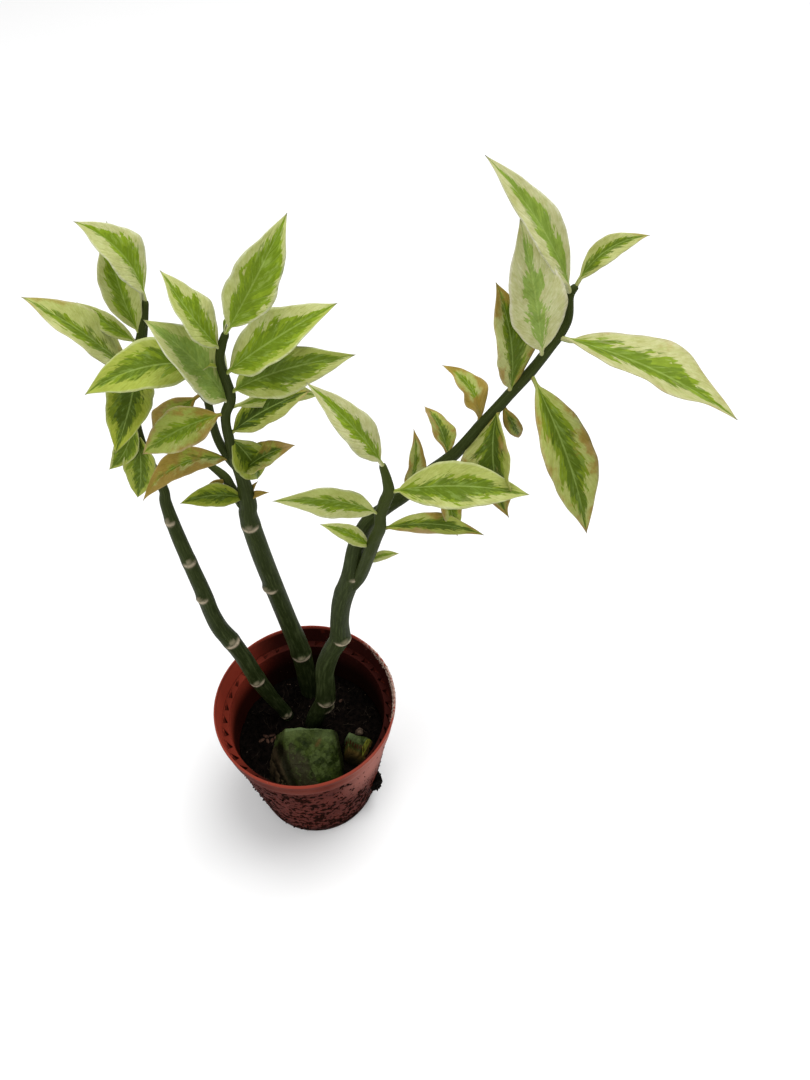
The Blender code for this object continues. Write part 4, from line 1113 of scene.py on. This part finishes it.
def makeClod(material):  # lump of soil that sticks to the right of the pot
    c = clodShape
    bm = bmesh.new()
    bmesh.ops.create_icosphere(bm, subdivisions=5, radius=1.0)
    angle = math.radians(c["bearing"])
    radius = wallRadius(c["height"]) + c["size"][0] - c["sink"] - 1.6
    centre = Vector((radius * math.cos(angle), radius * math.sin(angle), c["height"]))
    verts = []
    for vert in bm.verts:
        rough = noise.fractal(vert.co * 2.6 + Vector((7, 1, 3)), 0.7, 2.1, 5)
        grown = vert.co * (1 + 0.34 * rough)
        verts.append(centre + Vector((grown.x * c["size"][0], grown.y * c["size"][1], grown.z * c["size"][2])))
    faces = [tuple(vert.index for vert in face.verts) for face in bm.faces]
    bm.free()
    return newPiece("soilClod", [v[:] for v in verts], faces, material, (), "soil")


# Cut pieces of a fleshy leaf

cutPieces = {
    "large": {
        "centre": (-2.5, -5.0, 47.0), "radii": (22.0, 30.5, 19.5), "full": (0.8, 0.4, 1.0),
        "cuts": [((0, -2.8, 62.0), (0.06, 1.0, 0.12)), ((14.2, -3.0, 62.0), (1.0, 0.26, 0.04)),
                 ((0, -4.0, 65.2), (-0.03, -0.1, 1.0)), ((-13.6, -3.0, 61.0), (-0.88, 0.0, 0.47)),
                 ((-8.0, -3.0, 64.4), (-0.40, 0.0, 0.92)),
                 ((0, 0, 44.5), (0, 0, -1.0))],
        "voxel": 0.42, "rounding": 6, "rough": 0.4, "flake": 0.75,
    },
    "small": {
        "centre": (25.2, -8.8, 49.0), "radii": (7.8, 8.2, 14.0), "full": (0.8, 0.8, 0.5),
        "cuts": [((24.0, -3.2, 58.0), (0.12, 1.0, 0.12)), ((28.2, -10.0, 54.0), (1.0, -0.48, 0.46)),
                 ((0, 0, 45.0), (0, 0, -1.0))],
        "voxel": 0.28, "rounding": 3, "rough": 0.22, "peak": (20.6, 63.2), "valley": (25.6, 56.2),
    },
}


def cutForm(name):  # a rounded block with its flat cuts, as even small faces
    facts = cutPieces[name]
    bm = bmesh.new()
    bmesh.ops.create_uvsphere(bm, u_segments=96, v_segments=64, radius=1.0)
    for vert in bm.verts:
        x, y, z = vert.co
        left, right, deep = facts["full"]  # powers below 1 make the block squarer on that side
        fuller = (math.copysign(abs(x) ** (right if x > 0 else left), x), math.copysign(abs(y) ** deep, y), z)
        vert.co = Vector([c + r * p for c, r, p in zip(facts["centre"], facts["radii"], fuller)])
        if "peak" in facts:  # a raised corner at the left, then a hollow edge that falls to the right
            (left, top), (right, low) = facts["peak"], facts["valley"]
            share = min(1.0, max(0.0, (vert.co.x - left) / (right - left)))
            ceiling = top + (low - top) * (1 - (1 - share) ** 1.8) - max(0.0, left - vert.co.x) * 1.3
            base = facts["centre"][2]
            rise = max(0.0, vert.co.z - base) / facts["radii"][2]
            vert.co.z = min(vert.co.z, base) if rise == 0 else base + (ceiling - base) * min(1.0, rise * 1.12)
    for point, normal in facts["cuts"]:
        geometry = list(bm.verts) + list(bm.edges) + list(bm.faces)
        bmesh.ops.bisect_plane(bm, geom=geometry, plane_co=point, plane_no=Vector(normal).normalized(), clear_outer=True)
        bmesh.ops.holes_fill(bm, edges=[edge for edge in bm.edges if edge.is_boundary])
    bmesh.ops.triangulate(bm, faces=[face for face in bm.faces if len(face.verts) > 4])
    bmesh.ops.recalc_face_normals(bm, faces=bm.faces)
    mesh = bpy.data.meshes.new(name)
    bm.to_mesh(mesh)
    bm.free()
    shaper = bpy.data.objects.new(name, mesh)
    bpy.context.scene.collection.objects.link(shaper)
    finer = shaper.modifiers.new("even", "REMESH")
    finer.mode, finer.voxel_size = "VOXEL", facts["voxel"]
    applyModifiers(shaper)
    relax = shaper.modifiers.new("relax", "SMOOTH")
    relax.factor, relax.iterations = 0.5, facts["rounding"]
    applyModifiers(shaper)
    count = len(shaper.data.vertices)
    verts, normals = (np.empty(count * 3, dtype=np.float32) for _ in range(2))
    shaper.data.vertices.foreach_get("co", verts)
    shaper.data.vertices.foreach_get("normal", normals)
    faces = [tuple(face.vertices) for face in shaper.data.polygons]
    bpy.data.objects.remove(shaper, do_unlink=True)
    return verts.reshape(-1, 3), normals.reshape(-1, 3), faces


def makeCutPiece(name, material):
    facts = cutPieces[name]
    verts, normals, faces = cutForm(name)
    marks = np.zeros((len(verts), 3))
    layers, shades = np.zeros(len(verts)), np.zeros((len(verts), 3))
    for k, (x, y, z) in enumerate(verts.tolist()):
        lump = noise.fractal(Vector((x * 0.16, y * 0.16, z * 0.16)), 0.7, 2.0, 4)
        ragged = noise.fractal(Vector((x * 0.16, y * 0.07, z * 0.10 + 9)), 0.8, 2.1, 4)
        if name == "large":
            gap = x + 16.0 + 0.41 * (y + 7.5) + 1.4 * ragged  # distance from the dark fold in the husk
            fold = math.exp(-(gap / 2.2) ** 4) * min(1.0, max(0.0, (-5.5 - y) / 2.5))
            paper = min(1.0, max(0.0, (-gap - 0.6) / 1.2)) * min(1.0, max(0.0, (-6.0 - y) / 3.0))
            layer = (0.16 * gap + 0.5 * ragged + 20) % 1.0  # skin that peels in layers
            dry = min(1.0, max(0.0, (5.5 + 6 * ragged - abs(gap - 6.5)) / 2.0)) * min(1.0, max(0.0, (-14.0 - y + 5 * ragged) / 2.5))
            pale = max(math.exp(-((x + 10.0) / 7.0) ** 2 - ((y + 5.0) / 3.4) ** 2),
                       0.8 * math.exp(-((x - 8.5) / 5.0) ** 2 - ((y + 7.5) / 3.5) ** 2))
            edge = 1.0 if z > 62.5 and y > -4.1 else 0.0
            side = min(1.0, max(0.0, (x - 13.6 + 0.26 * (y + 3) + 1.4) / 0.8))
            spot = math.exp(-((x - 5.5 - 0.35 * (y + 11)) / 1.0) ** 2 - ((y + 11.5) / 2.0) ** 2)
            scales = noise.cell(Vector((x * 0.42, y * 0.30, z * 0.3)))
            marks[k] = (paper, edge * 0.35, spot * (0.4 + 0.6 * scales))
            layers[k] = layer
            shades[k] = (max(0.95 * fold, 0.75 * side), dry, max(0.0, pale - 0.5 * fold))
            torn = facts["flake"] * paper * (layer ** 0.35 if layer > 0.12 else layer * 3.9)
            verts[k] += normals[k] * (facts["rough"] * lump + torn - 0.5 * fold + 0.06 * scales)
        else:
            flat = Vector(facts["cuts"][1][1]).normalized()
            onCut = x > 27.4 and Vector(normals[k].tolist()).dot(flat) > 0.88
            band = max(0.0, 1.0 - abs(y + 9.3 + 0.10 * (x - 24)) / 1.7) if x < 28.4 else 0.0
            ticks = 0.5 + 0.5 * math.sin(x * 5.6 + 3 * lump)
            layers[k] = min(1.0, max(0.0, (-10.8 - y + ragged) / 2.5))
            if onCut:
                layers[k] = min(1.0, max(0.0, (53.4 - z) / 1.5))
            marks[k] = (layers[k], 1.0 if onCut and layers[k] < 0.6 else 0.0, min(1.0, 3.0 * band) * min(1.0, max(0.0, ticks * 2.8 - 0.6)))
            shades[k] = (min(0.9, max(0.0, (-12.6 - y) / 3.5)), 0.0, math.exp(-((x - 20.5) / 3.5) ** 2 - ((y + 4.5) / 3.0) ** 2))
            verts[k] += normals[k] * facts["rough"] * lump
    newPiece("cutPiece" + name.capitalize(), verts, faces, material, ["cut_piece_" + name],
             "cut_piece_" + name, {"skinMarks": marks, "skinLayer": layers, "skinShades": shades})


# Build everything

print("materials")
soilMaterial = makeSoilMaterial()
print("pot and soil")
makePot(makePotMaterial())
makeSoil(soilMaterial)
makeBits(soilMaterial)
makeClod(soilMaterial)
makeGrit(soilMaterial)
for name in cutPieces:
    makeCutPiece(name, makeSkinMaterial("fleshySkin" + name.capitalize(), name == "large"))
print("leafy stems")
leafMaterial = makeLeafMaterial("variegatedLeaf")
stemMaterial = makeStemMaterial("greenStem")
for side in stems:
    makeLeafyStem(side, stemMaterial, leafMaterial)


# Floor, light and camera

studio = {
    "floor": (0.84, 0.84, 0.84),
    "sky": (1.0, 1.0, 1.0), "skyStrength": 0.68,
    "key": {"place": (0.55, 0.35, 2.60), "size": 1.5, "power": 52.0},
    "fill": {"place": (-0.6, -0.6, 0.9), "size": 0.9, "power": 4.0},
    "camera": {"place": (0.0496, -0.1982, 0.4468), "down": 49.89, "lens": 27.03},
}


def makeFloor():
    bm = bmesh.new()
    bmesh.ops.create_grid(bm, x_segments=1, y_segments=1, size=6.0)
    mesh = bpy.data.meshes.new("floor")
    bm.to_mesh(mesh)
    bm.free()
    floor = bpy.data.objects.new("floor", mesh)
    bpy.context.scene.collection.objects.link(floor)
    made, _, shader = newMaterial("paleFloor", Roughness=0.9, Specular_IOR_Level=0.1)
    shader.inputs["Base Color"].default_value = (*studio["floor"], 1.0)
    mesh.materials.append(made)


def makeLight(name, facts, target=(0.02, 0.0, 0.2)):
    lamp = bpy.data.lights.new(name, "AREA")
    lamp.shape, lamp.size, lamp.energy = "DISK", facts["size"], facts["power"]
    item = bpy.data.objects.new(name, lamp)
    bpy.context.scene.collection.objects.link(item)
    item.location = facts["place"]
    item.rotation_euler = (Vector(target) - Vector(facts["place"])).to_track_quat("-Z", "Y").to_euler()


makeFloor()
makeLight("keyLight", studio["key"])
makeLight("fillLight", studio["fill"])
world = bpy.data.worlds.new("softSky")
world.use_nodes = True
world.node_tree.nodes["Background"].inputs[0].default_value = (*studio["sky"], 1.0)
world.node_tree.nodes["Background"].inputs[1].default_value = studio["skyStrength"]
bpy.context.scene.world = world
bpy.context.scene.view_settings.view_transform = "Standard"
lensData = bpy.data.cameras.new("photoCamera")
lensData.lens, lensData.sensor_width, lensData.clip_start = studio["camera"]["lens"], 36.0, 0.01
photoCamera = bpy.data.objects.new("photoCamera", lensData)
bpy.context.scene.collection.objects.link(photoCamera)
photoCamera.location = studio["camera"]["place"]
photoCamera.rotation_euler = (math.radians(90 - studio["camera"]["down"]), 0, 0)
bpy.context.scene.camera = photoCamera

print("finished")
